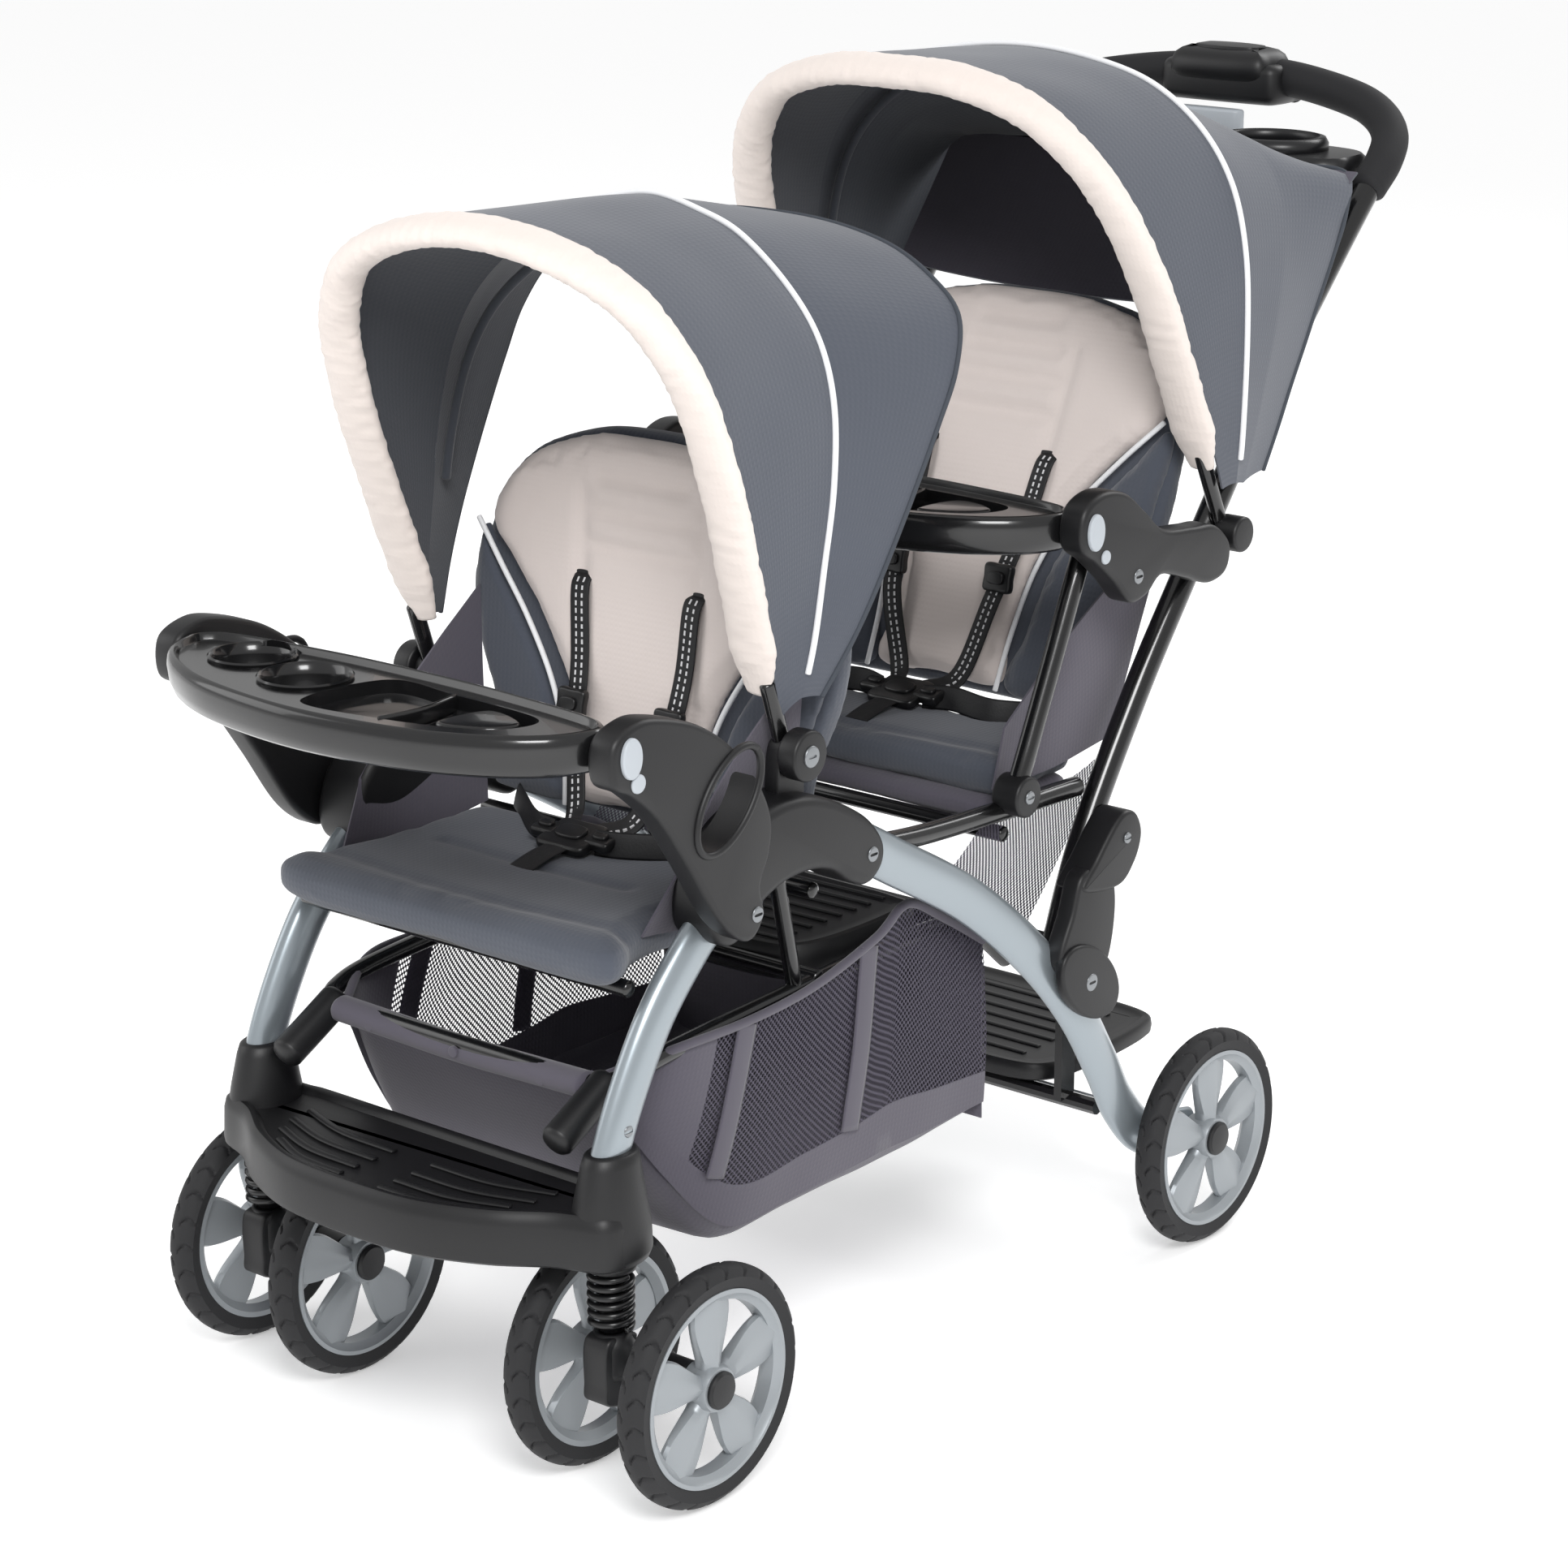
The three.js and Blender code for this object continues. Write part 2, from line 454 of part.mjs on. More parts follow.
// Rear seat and its canopy.
add("rear_seat_pad", join(
  planPlate(mirrored([[0, -28], [150, -26], [176, -10], [178, 60], [170, 92], [0, 96]]), 452, 486),
  box(-186, 186, -36, 70, 440, 452.5)), slateCloth);
add("rear_seat_back", roundedSlab([[0, 0], [168, 0], [172, 70], [186, 120], [188, 230], [176, 330], [130, 368], [60, 380], [0, 382]],
  34), beigeCloth, [0, 142, 486]).rotation.x = -0.4;
add("rear_tray", cupTray(FRONT_TRAY_TOP).translate(0, ...TRAY_SHIFT), blackPlastic);
trayButtonPair("rear_tray", REAR_BUTTON);

const rearHubArm = hubArm(REAR_HUB, rearArch, REAR_BOW_ANGLE, 222.5, 236);
const rearBow = (grow) => join(bow(REAR_HUB, rearArch, REAR_BOW_ANGLE, 7 + grow), rearHubArm, flipX(rearHubArm, -1));
add("rear_canopy_bow", rearBow(0), beigeCloth);
const backArch = [[214, 60], [220, 150], [224, 250], [224, 320], [214, 352], [180, 364], [100, 368], [0, 368]];
add("rear_canopy_cloth", canopyCloth(clothShell(REAR_HUB,
  [[REAR_BOW_ANGLE + 3.5, scaledArch(rearArch, CLOTH_INSIDE, 0.975)], [77, scaledArch(rearArch, CLOTH_INSIDE, 0.935)],
    [90, scaledArch(rearArch, CLOTH_INSIDE, 0.9)], [105, scaledArch(rearArch, CLOTH_INSIDE, 0.84)],
    [122, scaledArch(backArch, CLOTH_INSIDE, 0.95)]], CLOTH), rearBow(GAP), pushBar(PUSH_BAR_R + 2, 40)), slateCloth);

group.position.y = ROW_SHIFT;
export default group;
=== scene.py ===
"""A tandem stroller with a silver oval-tube frame, two padded seats, two sunshades and a mesh basket.

Sizes are in millimetres on the maker's drawing, whose zero is DATUM mm ahead of the frame's origin along Y,
and at() turns them into the frame's metres. The stroller faces -Y and +X is the riders' left.
"""

import json
import math

import bmesh
import bpy
import numpy as np
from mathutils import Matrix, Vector, noise

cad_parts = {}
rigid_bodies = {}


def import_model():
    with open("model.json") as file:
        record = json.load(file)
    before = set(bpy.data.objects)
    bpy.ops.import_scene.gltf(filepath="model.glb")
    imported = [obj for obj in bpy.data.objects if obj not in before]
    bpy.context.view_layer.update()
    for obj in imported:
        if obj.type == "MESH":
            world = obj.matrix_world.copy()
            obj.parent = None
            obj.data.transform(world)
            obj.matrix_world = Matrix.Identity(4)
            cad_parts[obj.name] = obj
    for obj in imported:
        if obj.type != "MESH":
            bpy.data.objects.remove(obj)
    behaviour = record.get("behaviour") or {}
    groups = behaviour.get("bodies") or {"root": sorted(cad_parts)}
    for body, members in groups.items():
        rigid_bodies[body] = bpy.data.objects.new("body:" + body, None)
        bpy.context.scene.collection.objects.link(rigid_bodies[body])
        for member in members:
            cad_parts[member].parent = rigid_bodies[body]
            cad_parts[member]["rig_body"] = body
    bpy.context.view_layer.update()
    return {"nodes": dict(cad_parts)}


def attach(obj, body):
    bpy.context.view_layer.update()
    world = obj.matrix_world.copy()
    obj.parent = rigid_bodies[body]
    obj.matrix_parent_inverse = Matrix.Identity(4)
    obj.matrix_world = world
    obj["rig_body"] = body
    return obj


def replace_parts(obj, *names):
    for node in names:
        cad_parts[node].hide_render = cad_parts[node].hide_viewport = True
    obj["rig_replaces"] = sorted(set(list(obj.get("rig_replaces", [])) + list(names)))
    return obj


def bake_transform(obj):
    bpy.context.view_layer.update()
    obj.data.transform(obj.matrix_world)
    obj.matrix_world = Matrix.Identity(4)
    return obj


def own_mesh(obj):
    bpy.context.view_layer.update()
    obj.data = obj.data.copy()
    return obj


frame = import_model()

DATUM = 46
SIDES = (("left", 1), ("right", -1))


# ---------------------------------------------------------------- materials

def linear(colour):
    """An sRGB hex value as linear red, green, blue and alpha."""
    parts = [int(colour[i:i + 2], 16) / 255 for i in (1, 3, 5)]
    return [c / 12.92 if c <= 0.04045 else ((c + 0.055) / 1.055) ** 2.4 for c in parts] + [1.0]


def add_node(tree, kind, settings, links=None):
    made = tree.nodes.new(kind)
    for key, value in settings.items():
        if isinstance(key, str) and hasattr(made, key):
            setattr(made, key, value)
        else:
            made.inputs[key].default_value = value
    for key, source in (links or {}).items():
        tree.links.new(source, made.inputs[key])
    return made


def surface_finish(name, colour, slot, roughness, grain=0.0, depth=0.0, shade=0.0, **sockets):
    """A material named for what it is. grain is the surface pattern's real size and depth its height, in mm.

    shade is how much the colour drifts over a hand's width, as dye and moulding do."""
    material = bpy.data.materials.new(name)
    material.use_nodes = True
    tree = material.node_tree
    shader = tree.nodes["Principled BSDF"]
    shader.inputs["Base Color"].default_value = linear(colour)
    shader.inputs["Roughness"].default_value = roughness
    for key, value in sockets.items():
        shader.inputs[key.replace("_", " ")].default_value = value
    place = add_node(tree, "ShaderNodeTexCoord", {}).outputs["Object"]
    if shade:
        drift = add_node(tree, "ShaderNodeTexNoise", {"Scale": 9.0, "Detail": 3.0}, {"Vector": place})
        dark, light = ([min(c * k, 1) for c in linear(colour)[:3]] for k in (1 - shade, 1 + shade))
        mixed = add_node(tree, "ShaderNodeMix", {"data_type": "RGBA", 6: dark + [1], 7: light + [1]},
                         {0: drift.outputs[0]})
        tree.links.new(mixed.outputs[2], shader.inputs["Base Color"])
    if grain:
        pattern = add_node(tree, "ShaderNodeTexNoise", {"Scale": 1000 / grain, "Detail": 2.0},
                           {"Vector": place})
        bump = add_node(tree, "ShaderNodeBump", {"Strength": 1.0, "Distance": depth / 1000},
                        {"Height": pattern.outputs[0]})
        tree.links.new(bump.outputs[0], shader.inputs["Normal"])
    material["slot"] = slot
    return material


def woven(name, colour, slot, thread, depth, shade=0.06):
    """A plain weave: two thread directions crossing, thread mm apart."""
    material = surface_finish(name, colour, slot, 0.9, shade=shade, Sheen_Weight=0.25, Sheen_Roughness=0.6)
    tree = material.node_tree
    place = add_node(tree, "ShaderNodeTexCoord", {}).outputs["UV"]
    bands = [add_node(tree, "ShaderNodeTexWave",
                      {"bands_direction": axis, "Scale": 1000 / thread / 20 * math.pi},
                      {"Vector": place}).outputs[0] for axis in "XY"]
    cross = add_node(tree, "ShaderNodeMath", {"operation": "MULTIPLY"}, {0: bands[0], 1: bands[1]})
    bump = add_node(tree, "ShaderNodeBump", {"Strength": 0.6, "Distance": depth / 1000},
                    {"Height": cross.outputs[0]})
    tree.links.new(bump.outputs[0], tree.nodes["Principled BSDF"].inputs["Normal"])
    return material


def netting(name, colour, slot, hole):
    """Warp-knit polyester net: a cell every hole mm, drawn coarser than the real 2.5 mm so that it shows."""
    material = surface_finish(name, colour, slot, 0.8)
    tree = material.node_tree
    place = add_node(tree, "ShaderNodeTexCoord", {}).outputs["UV"]
    turned = add_node(tree, "ShaderNodeMapping", {"Rotation": (0, 0, math.pi / 4)}, {"Vector": place})
    cells = add_node(tree, "ShaderNodeTexVoronoi",
                     {"voronoi_dimensions": "2D", "Scale": 1000 / hole, "Randomness": 0.0},
                     {"Vector": turned.outputs[0]})
    thread = add_node(tree, "ShaderNodeMath", {"operation": "GREATER_THAN", 1: 0.43},
                      {0: cells.outputs["Distance"]})
    tree.links.new(thread.outputs[0], tree.nodes["Principled BSDF"].inputs["Alpha"])
    return material


# Powder-coated steel tube: a fine metallic lacquer, smooth and softly shiny.
silver_lacquer = surface_finish("silver lacquered steel", "#9AA3A9", "silver_paint", 0.3, Metallic=0.55,
                                Coat_Weight=0.5,
                                Coat_Roughness=0.12)
# Black powder coat: glossy, with a thin bright line along each tube.
black_lacquer = surface_finish("black powder coated steel", "#0D0D0E", "black_tube", 0.22, Coat_Weight=0.4)
spring_wire = surface_finish("black spring wire", "#111112", "spring_steel", 0.3, Metallic=0.2,
                             Coat_Weight=0.3)
# Spark-eroded polypropylene: a fine grain that breaks up the highlight.
grained_plastic = surface_finish("grained black polypropylene", "#111113", "black_plastic", 0.46, grain=1.6,
                                 depth=0.05)
polished_plastic = surface_finish("polished black ABS", "#161617", "gloss_black", 0.2, Coat_Weight=0.3)
cup_plastic = surface_finish("satin black polypropylene", "#19191B", "black_plastic", 0.33)
wheel_plastic = surface_finish("silver moulded nylon", "#9A9FA3", "wheel_silver", 0.38, Metallic=0.35,
                               shade=0.02)
wheel_rubber = surface_finish("foamed EVA tyre", "#202022", "tyre_rubber", 0.72, grain=1.5, depth=0.08)
grip_foam = surface_finish("closed cell grip foam", "#17171A", "grip_foam", 0.78, grain=1.5, depth=0.12)
button_plastic = surface_finish("grey moulded ABS", "#B3B9BF", "grey_button", 0.42)
console_plastic = surface_finish("plum grey satin ABS", "#4A4751", "black_plastic", 0.36)
screw_steel = surface_finish("zinc plated screw", "#8E9194", "spring_steel", 0.35, Metallic=0.9)
# Woven polyester: matt, with a slight sheen at grazing angles.
# Threads are drawn 2.4 mm apart, not 0.5, to show.
canopy_cloth = woven("slate polyester canopy cloth", "#464B56", "canopy_fabric", 2.4, 0.25)
canopy_lining = woven("charcoal canopy lining", "#3C4048", "canopy_fabric", 2.4, 0.2)
seat_cloth = woven("slate polyester seat cloth", "#454A55", "seat_fabric", 2.4, 0.25)
cream_cloth = woven("cream polyester seat cloth", "#DED3CE", "seat_fabric", 2.4, 0.2, shade=0.03)
cream_sleeve = woven("cream polyester bow sleeve", "#E6DBD4", "beige_fabric", 2.4, 0.2, shade=0.03)
side_cloth = woven("plum grey side cloth", "#4E4A56", "basket_fabric", 2.4, 0.2)
white_piping = surface_finish("white piping cord", "#F0F1F3", "beige_fabric", 0.6)
slate_piping = surface_finish("slate edge binding", "#3D424A", "canopy_fabric", 0.8)
basket_net = netting("plum grey basket net", "#504C59", "basket_fabric", 3.8)
webbing = surface_finish("black polyester webbing", "#161618", "black_plastic", 0.62, grain=1.8, depth=0.2)
stitching = surface_finish("white webbing stitches", "#DADADC", "seat_fabric", 0.7)
buckle_plastic = surface_finish("black acetal buckle", "#141415", "black_plastic", 0.35)


# ---------------------------------------------------------------- shapes

def at(points):
    """Drawing millimetres as the frame's metres."""
    return (np.asarray(points, float) + [0, DATUM, 0]) / 1000


def level_ring(x, y, z, radius, depth, count):
    """An oval of count points lying level: radius is its half width, depth its half length along Y."""
    turn = np.linspace(0, 2 * math.pi, count, endpoint=False)
    return np.stack([x + radius * np.cos(turn), y + depth * np.sin(turn), np.full(count, z)], axis=1)


def flipped(points, side):
    return np.asarray(points, float) * [side, 1, 1]


def spline(points, count, closed=False):
    """Points evenly along a smooth curve through the given ones."""
    p = np.asarray(points, float)
    ends = (p[-1:], p[:2]) if closed else (2 * p[:1] - p[1:2], 2 * p[-1:] - p[-2:-1])
    q = np.vstack([ends[0], p, ends[1]])
    fine = []
    for a, b, c, d in zip(q[:-3], q[1:-2], q[2:-1], q[3:]):
        t = np.linspace(0, 1, 24, endpoint=False)[:, None]
        fine.append(0.5 * (2 * b + (c - a) * t + (2 * a - 5 * b + 4 * c - d) * t ** 2
                           + (3 * b - a - 3 * c + d) * t ** 3))
    fine = np.vstack(fine + [p[:1] if closed else p[-1:]])
    along = np.concatenate([[0], np.cumsum(np.linalg.norm(np.diff(fine, axis=0), axis=1))])
    marks = np.linspace(0, along[-1], count, endpoint=not closed)
    return np.stack([np.interp(marks, along, fine[:, k]) for k in range(fine.shape[1])], axis=1)


def piece(name, verts, faces, material, body, replaces=(), flat=False, uvs=None):
    """A shown piece made from drawing millimetres, riding on a body."""
    mesh = bpy.data.meshes.new(name)
    mesh.from_pydata([tuple(v) for v in at(verts)], [], faces)
    work = bmesh.new()
    work.from_mesh(mesh)
    bmesh.ops.recalc_face_normals(work, faces=work.faces)
    work.to_mesh(mesh)
    work.free()
    mesh.polygons.foreach_set("use_smooth", [not flat] * len(mesh.polygons))
    if uvs is not None:
        layer = mesh.uv_layers.new(name="cloth")
        flat_uvs = np.asarray(uvs)[[loop.vertex_index for loop in mesh.loops]]
        layer.data.foreach_set("uv", flat_uvs.astype(np.float32).ravel())
    made = bpy.data.objects.new(name, mesh)
    bpy.context.collection.objects.link(made)
    dress(made, material)
    if body:
        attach(made, body)
    if replaces:
        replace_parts(made, *replaces)
    return made


def dress(thing, *materials):
    thing.data.materials.clear()
    for material in materials:
        thing.data.materials.append(material)


def grid_faces(rows, columns, wrap_rows=False, wrap_columns=False):
    faces = []
    for i in range(rows if wrap_rows else rows - 1):
        for j in range(columns if wrap_columns else columns - 1):
            k, m = (i + 1) % rows, (j + 1) % columns
            faces.append((i * columns + j, i * columns + m, k * columns + m, k * columns + j))
    return faces


def crease(thing, angle=35):
    """Keeps edges sharper than angle degrees crisp under smooth shading."""
    bm = bmesh.new()
    bm.from_mesh(thing.data)
    for edge in bm.edges:
        if len(edge.link_faces) == 2:
            edge.smooth = edge.calc_face_angle(0) < math.radians(angle)
    bm.to_mesh(thing.data)
    bm.free()


def tube(name, path, halves, material, body, replaces=(), sides=24, steps=90, across=(1, 0, 0),
         round_ends=True):
    """An oval tube through path. halves are its half widths along `across` and square to it."""
    line = spline(path, steps)
    run = np.gradient(line, axis=0)
    run /= np.linalg.norm(run, axis=1)[:, None]
    rings = []
    reference = np.asarray(across if abs(np.dot(across, run[0])) < 0.95 else (0, 1, 0), float)
    side = reference - run[0] * (reference @ run[0])
    for centre, ahead in zip(line, run):
        side = side - ahead * (side @ ahead)
        side /= np.linalg.norm(side)
        other = np.cross(ahead, side)
        turn = np.linspace(0, 2 * math.pi, sides, endpoint=False)[:, None]
        rings.append((centre, ahead, halves[0] * np.cos(turn) * side + halves[1] * np.sin(turn) * other))
    verts = []
    reach = min(halves) * 0.5 if round_ends else 0.01
    for bend in (1.0, 0.5, 0.15):
        centre, ahead, ring = rings[0]
        verts.append(centre - ahead * reach * math.sin(bend * math.pi / 2)
                     + ring * math.cos(bend * math.pi / 2 * 0.8))
    verts += [centre + ring for centre, ahead, ring in rings]
    for bend in (0.15, 0.5, 1.0):
        centre, ahead, ring = rings[-1]
        verts.append(centre + ahead * reach * math.sin(bend * math.pi / 2)
                     + ring * math.cos(bend * math.pi / 2 * 0.8))
    count = len(verts)
    faces = grid_faces(count, sides, wrap_columns=True)
    faces += [tuple(range(sides)), tuple(range((count - 1) * sides, count * sides))]
    return piece(name, np.vstack(verts), faces, material, body, replaces)


PLAN = np.eye(3)
SIDE = np.array([[0, 1, 0], [0, 0, 1], [1, 0, 0]], float)


def stack(name, outline, levels, material, body, replaces=(), plane=PLAN, origin=(0, 0, 0), count=160,
          mirror=False):
    """A solid of stacked outlines. levels are (height, inset) pairs from one face to the other."""
    shape = np.asarray(outline, float)
    if mirror:
        shape = np.vstack([shape, (shape * [-1, 1])[shape[:, 0] > 0.01][::-1]])
    ring = spline(shape, count, closed=True)
    ahead = np.roll(ring, -1, axis=0) - np.roll(ring, 1, axis=0)
    inward = np.stack([-ahead[:, 1], ahead[:, 0]], axis=1)
    inward /= np.linalg.norm(inward, axis=1)[:, None] + 1e-9
    area = np.sum(ring[:, 0] * np.roll(ring[:, 1], -1) - ring[:, 1] * np.roll(ring[:, 0], -1))
    inward *= math.copysign(1, area)
    verts = []
    for height, inset in levels:
        flat = ring + inward * inset
        verts.append(np.asarray(origin) + flat[:, :1] * plane[0] + flat[:,
            1:] * plane[1] + height * plane[2])
    rows = len(levels)
    faces = grid_faces(rows, count, wrap_columns=True)
    faces += [tuple(range(count)), tuple(range((rows - 1) * count, rows * count))]
    made = piece(name, np.vstack(verts), faces, material, body, replaces)
    crease(made, 40)
    return made


def rounded(low, high, edge):
    """Levels for a slab from low to high with edges rounded to that radius."""
    turn = np.linspace(0, math.pi / 2, 5)
    sign = 1 if high > low else -1
    start = [(low + sign * edge * (1 - math.cos(a)), edge * (1 - math.sin(a))) for a in turn]
    return start + [(high - (h - low), inset) for h, inset in start[::-1]]


def spun(name, profile, centre, material, body, replaces=(), sides=96, side=1, grooves=None):
    """A solid turned around the X axis: profile is a closed loop of (radius, x)."""
    loop = np.asarray(profile, float)
    verts = []
    for k in range(sides):
        turn = 2 * math.pi * k / sides
        for r, x in loop:
            depth = grooves(turn, r, x) if grooves else 0
            verts.append((centre[0] + side * x, centre[1] + (r - depth) * math.cos(turn),
                          centre[2] + (r - depth) * math.sin(turn)))
    faces = grid_faces(sides, len(loop), wrap_rows=True, wrap_columns=True)
    made = piece(name, verts, faces, material, body, replaces)
    crease(made, 38)
    return made


def disc(name, centre, radius, x0, x1, material, body, edge=1.5, side=1, replaces=()):
    """A round boss along X with rounded rims."""
    turn = np.linspace(0, 2 * math.pi, 40, endpoint=False)
    outline = np.stack([radius * np.cos(turn), radius * np.sin(turn)], axis=1) + [centre[0], centre[1]]
    low, high = (x0, x1) if side > 0 else (-x1, -x0)
    return stack(name, outline, rounded(low, high, edge), material, body, replaces, plane=SIDE, count=48)


def carve(thing, *cutters):
    """Cuts the cutters out of thing and removes them."""
    for cutter in cutters:
        cut = thing.modifiers.new("cut", "BOOLEAN")
        cut.operation = "DIFFERENCE"
        cut.solver = "EXACT"
        cut.object = cutter
    bpy.context.view_layer.update()
    mesh = bpy.data.meshes.new_from_object(thing.evaluated_get(bpy.context.evaluated_depsgraph_get()))
    thing.modifiers.clear()
    materials = list(thing.data.materials)
    thing.data = mesh
    if not mesh.materials:
        for material in materials:
            mesh.materials.append(material)
    for cutter in cutters:
        bpy.data.objects.remove(cutter)
    crease(thing, 40)
    return thing


def wobble(x, y, z, size):
    """Smooth noise between about -1 and 1, size mm between bumps."""
    return noise.noise(Vector((x / size, y / size, z / size)))


def join_pieces(name, pieces):
    """Makes one object of several that share a body."""
    work = bmesh.new()
    first = pieces[0]
    materials = []
    for thing in pieces:
        start = len(work.faces)
        work.from_mesh(thing.data)
        material = thing.data.materials[0]
        if material not in materials:
            materials.append(material)
        work.faces.ensure_lookup_table()
        for face in work.faces[start:]:
            face.material_index = materials.index(material)
    mesh = bpy.data.meshes.new(name)
    work.to_mesh(mesh)
    work.free()
    body = first["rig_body"]
    hidden = sorted({n for thing in pieces for n in thing.get("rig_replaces", [])})
    for thing in pieces:
        bpy.data.objects.remove(thing)
    made = bpy.data.objects.new(name, mesh)
    bpy.context.collection.objects.link(made)
    dress(made, *materials)
    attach(made, body)
    if hidden:
        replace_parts(made, *hidden)
    return made


# ---------------------------------------------------------------- wheels and casters

WHEEL_R, RIM_R, TYRE_HALF = 100, 80, 13.5
SPOKES = 5


def tread(turn, r, x):
    """Depth of the hooked tread grooves cut across both shoulders."""
    if r < 88:
        return 0
    pitch = 2 * math.pi / 26
    across = abs(x) / TYRE_HALF
    hook = 0.09 * math.sin(across * math.pi) + 0.06 * across
    phase = ((turn + hook + (pitch / 2 if x < 0 else 0)) % pitch) / pitch
    gap = abs(phase - 0.5)
    return 2.4 * max(0, 1 - (gap / 0.1) ** 2) if 0.16 < across < 0.97 else 0


def wheel(name, body, centre, side, nodes):
    half = TYRE_HALF
    crown = [(WHEEL_R - 8.5 * abs(u) ** 2.6, half * u) for u in np.linspace(-1, 1, 23)]
    tyre = [(RIM_R + 2, -half + 2.5), *crown, (RIM_R + 2, half - 2.5), (RIM_R, half - 6), (RIM_R, 6 - half)]
    spun(name + "_tread", tyre, centre, wheel_rubber, body, nodes[1:], sides=416, side=side, grooves=tread)
    rim = [(RIM_R + 1.6, -11), (RIM_R + 1.6, 11.6), (RIM_R - 2, 12), (RIM_R - 4, 9.5), (RIM_R - 8, 7),
           (RIM_R - 9, -5), (RIM_R - 3, -11)]
    parts = [spun(name + "_ring", rim, centre, wheel_plastic, body, nodes[:1], sides=120, side=side)]
    hub = [(5.4, -14), (17, -14), (19, -6), (20, 8), (18, 12.5), (5.4, 13)]
    parts.append(spun(name + "_hub", hub, centre, wheel_plastic, body, sides=60, side=side))
    stations = [(12, 10, 8), (22, 10.5, 7.5), (34, 15, 6.5), (50, 20.5, 5.5), (64, 22, 5.5), (75, 19.5, 6),
                (80, 19, 6)]
    for k in range(SPOKES):
        turn = 2 * math.pi * (k + 0.25) / SPOKES
        out, tangent = np.array([0, math.cos(turn), math.sin(turn)]), np.array([0, -math.sin(turn),
            math.cos(turn)])
        verts = []
        for r, wide, thick in spline(stations, 22):
            lens = [(-1, -0.1), (-0.93, 0.5), (-0.45, 0.9), (0, 1.25), (0.45, 0.9), (0.93, 0.5), (1, -0.1),
                    (0.9, -0.9), (0, -1), (-0.9, -0.9)]
            for u, v in lens:
                verts.append(np.array(centre) + out * r + tangent * u * wide
                             + np.array([side * (v * thick + 1.5), 0, 0]))
        faces = grid_faces(22, 10, wrap_columns=True) + [tuple(range(10)), tuple(range(210, 220))]
        parts.append(piece(f"{name}_spoke_{k}", verts, faces, wheel_plastic, body))
        crease(parts[-1], 50)
    join_pieces(name + "_face", parts)
    cap = [(0.2, 10), (15.5, 10), (15.5, 15), (13.5, 17), (5, 18), (0.2, 18)]
    spun(name + "_cap", cap, centre, grained_plastic, body, sides=48, side=side)


def caster(label, side):
    x, strut = side * 194, -546
    fork, swivel = "caster_fork_" + label, "caster_swivel_" + label
    rise = np.linspace(0, 1, 160)
    coil = np.stack([x + 16.5 * np.cos(rise * 12 * math.pi), strut + 16.5 * np.sin(rise * 12 * math.pi),
                     150.5 + rise * 45], axis=1)
    spring = tube("spring_" + label, coil, (2.9, 2.9), spring_wire, swivel, ["caster_spring_" + label],
                  sides=10, steps=420)
    tuple(at([x, strut, 199]))
    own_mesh(spring)
    for place, body in ((60, "outer"), (-60, "inner")):
        out = side if body == "outer" else -side
        name = f"front_{body}_wheel_{label}"
        wheel(name, name, (x + side * place, -500, WHEEL_R), out, [name + "_rim", name + "_tyre"])
    rib = [(-566, 106), (-560, 88), (-505, 82), (-486, 92), (-483, 108), (-505, 120), (-528, 132),
           (-531, 142), (-563, 143)]
    arm = stack("fork_web_" + label, rib, rounded(x - 13, x + 13, 3), grained_plastic, fork, plane=SIDE)
    boss = disc("fork_boss_" + label, (-500, 100), 15, abs(x) - 43, abs(x) + 43, grained_plastic, fork,
                side=side)
    cup = [(0.1, 0), (18, 0), (19, 6), (19, 26), (14, 36.5), (10.2, 36.8), (10.2, 4), (0.1, 4)]
    ring = [level_ring(x, strut, 110 + z, r, r, 48) for r, z in cup]
    seat = piece("fork_cup_" + label, np.vstack(ring), grid_faces(8, 48, wrap_columns=True),
                 grained_plastic, fork)
    axle = disc("fork_axle_" + label, (-500, 100), 5, abs(x) - 70, abs(x) + 70, screw_steel, fork, edge=0.5,
                side=side)
    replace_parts(join_pieces("sprung_fork_" + label, [arm, boss, seat, axle]), "caster_fork_" + label)


for label, side in SIDES:
    caster(label, side)
    rear = "rear_wheel_" + label
    wheel(rear, rear, (side * 255, 196, WHEEL_R), side, [rear + "_rim", rear + "_tyre"])


# ---------------------------------------------------------------- frame

FRONT_LEG = [(193, -550, 258), (193, -544, 293), (193, -522, 341), (193, -490, 392), (193, -449, 435),
             (193, -418, 459),
             (193, -385, 480)]
REAR_LEG = [(206, -285, 493), (206, -250, 474), (207, -213, 453), (213, -116, 396), (224, -40, 331),
            (230, 16, 268),
            (230, 60, 205), (227, 96, 152), (226, 140, 112), (226, 206, 97)]
PUSH_SIDE = [(205, 16, 297), (205, 58, 400), (206, 130, 515), (208, 196, 607), (211, 300, 744),
             (215, 400, 858), (217, 468, 930)]
GRIP_SIDE = [(216, 496, 952), (205, 523, 971), (178, 545, 987), (138, 560, 998), (68, 571, 1008)]
BRACKET = [(-452, 470), (-440, 503), (-410, 530), (-370, 541), (-330, 538), (-290, 522), (-256, 501),
           (-238, 478), (-240, 458),
           (-258, 446), (-279, 453), (-302, 468), (-330, 475), (-365, 473), (-398, 460), (-424, 438),
           (-446, 446)]
TRAY_ARM = [(-598, 612), (-597, 643), (-570, 655), (-541, 652), (-500, 638), (-462, 613), (-432, 580),
            (-416, 548),
            (-417, 520), (-428, 494), (-424, 470), (-436, 453), (-452, 455), (-478, 478), (-512, 528),
            (-545, 572), (-575, 598)]
REAR_TRAY_ARM = [(-10, 684), (-8, 714), (18, 727), (52, 722), (84, 700), (112, 680), (157, 674), (190, 670),
                 (214, 650),
                 (210, 626), (184, 619), (150, 630), (110, 640), (88, 627), (64, 624), (40, 646), (12, 668)]
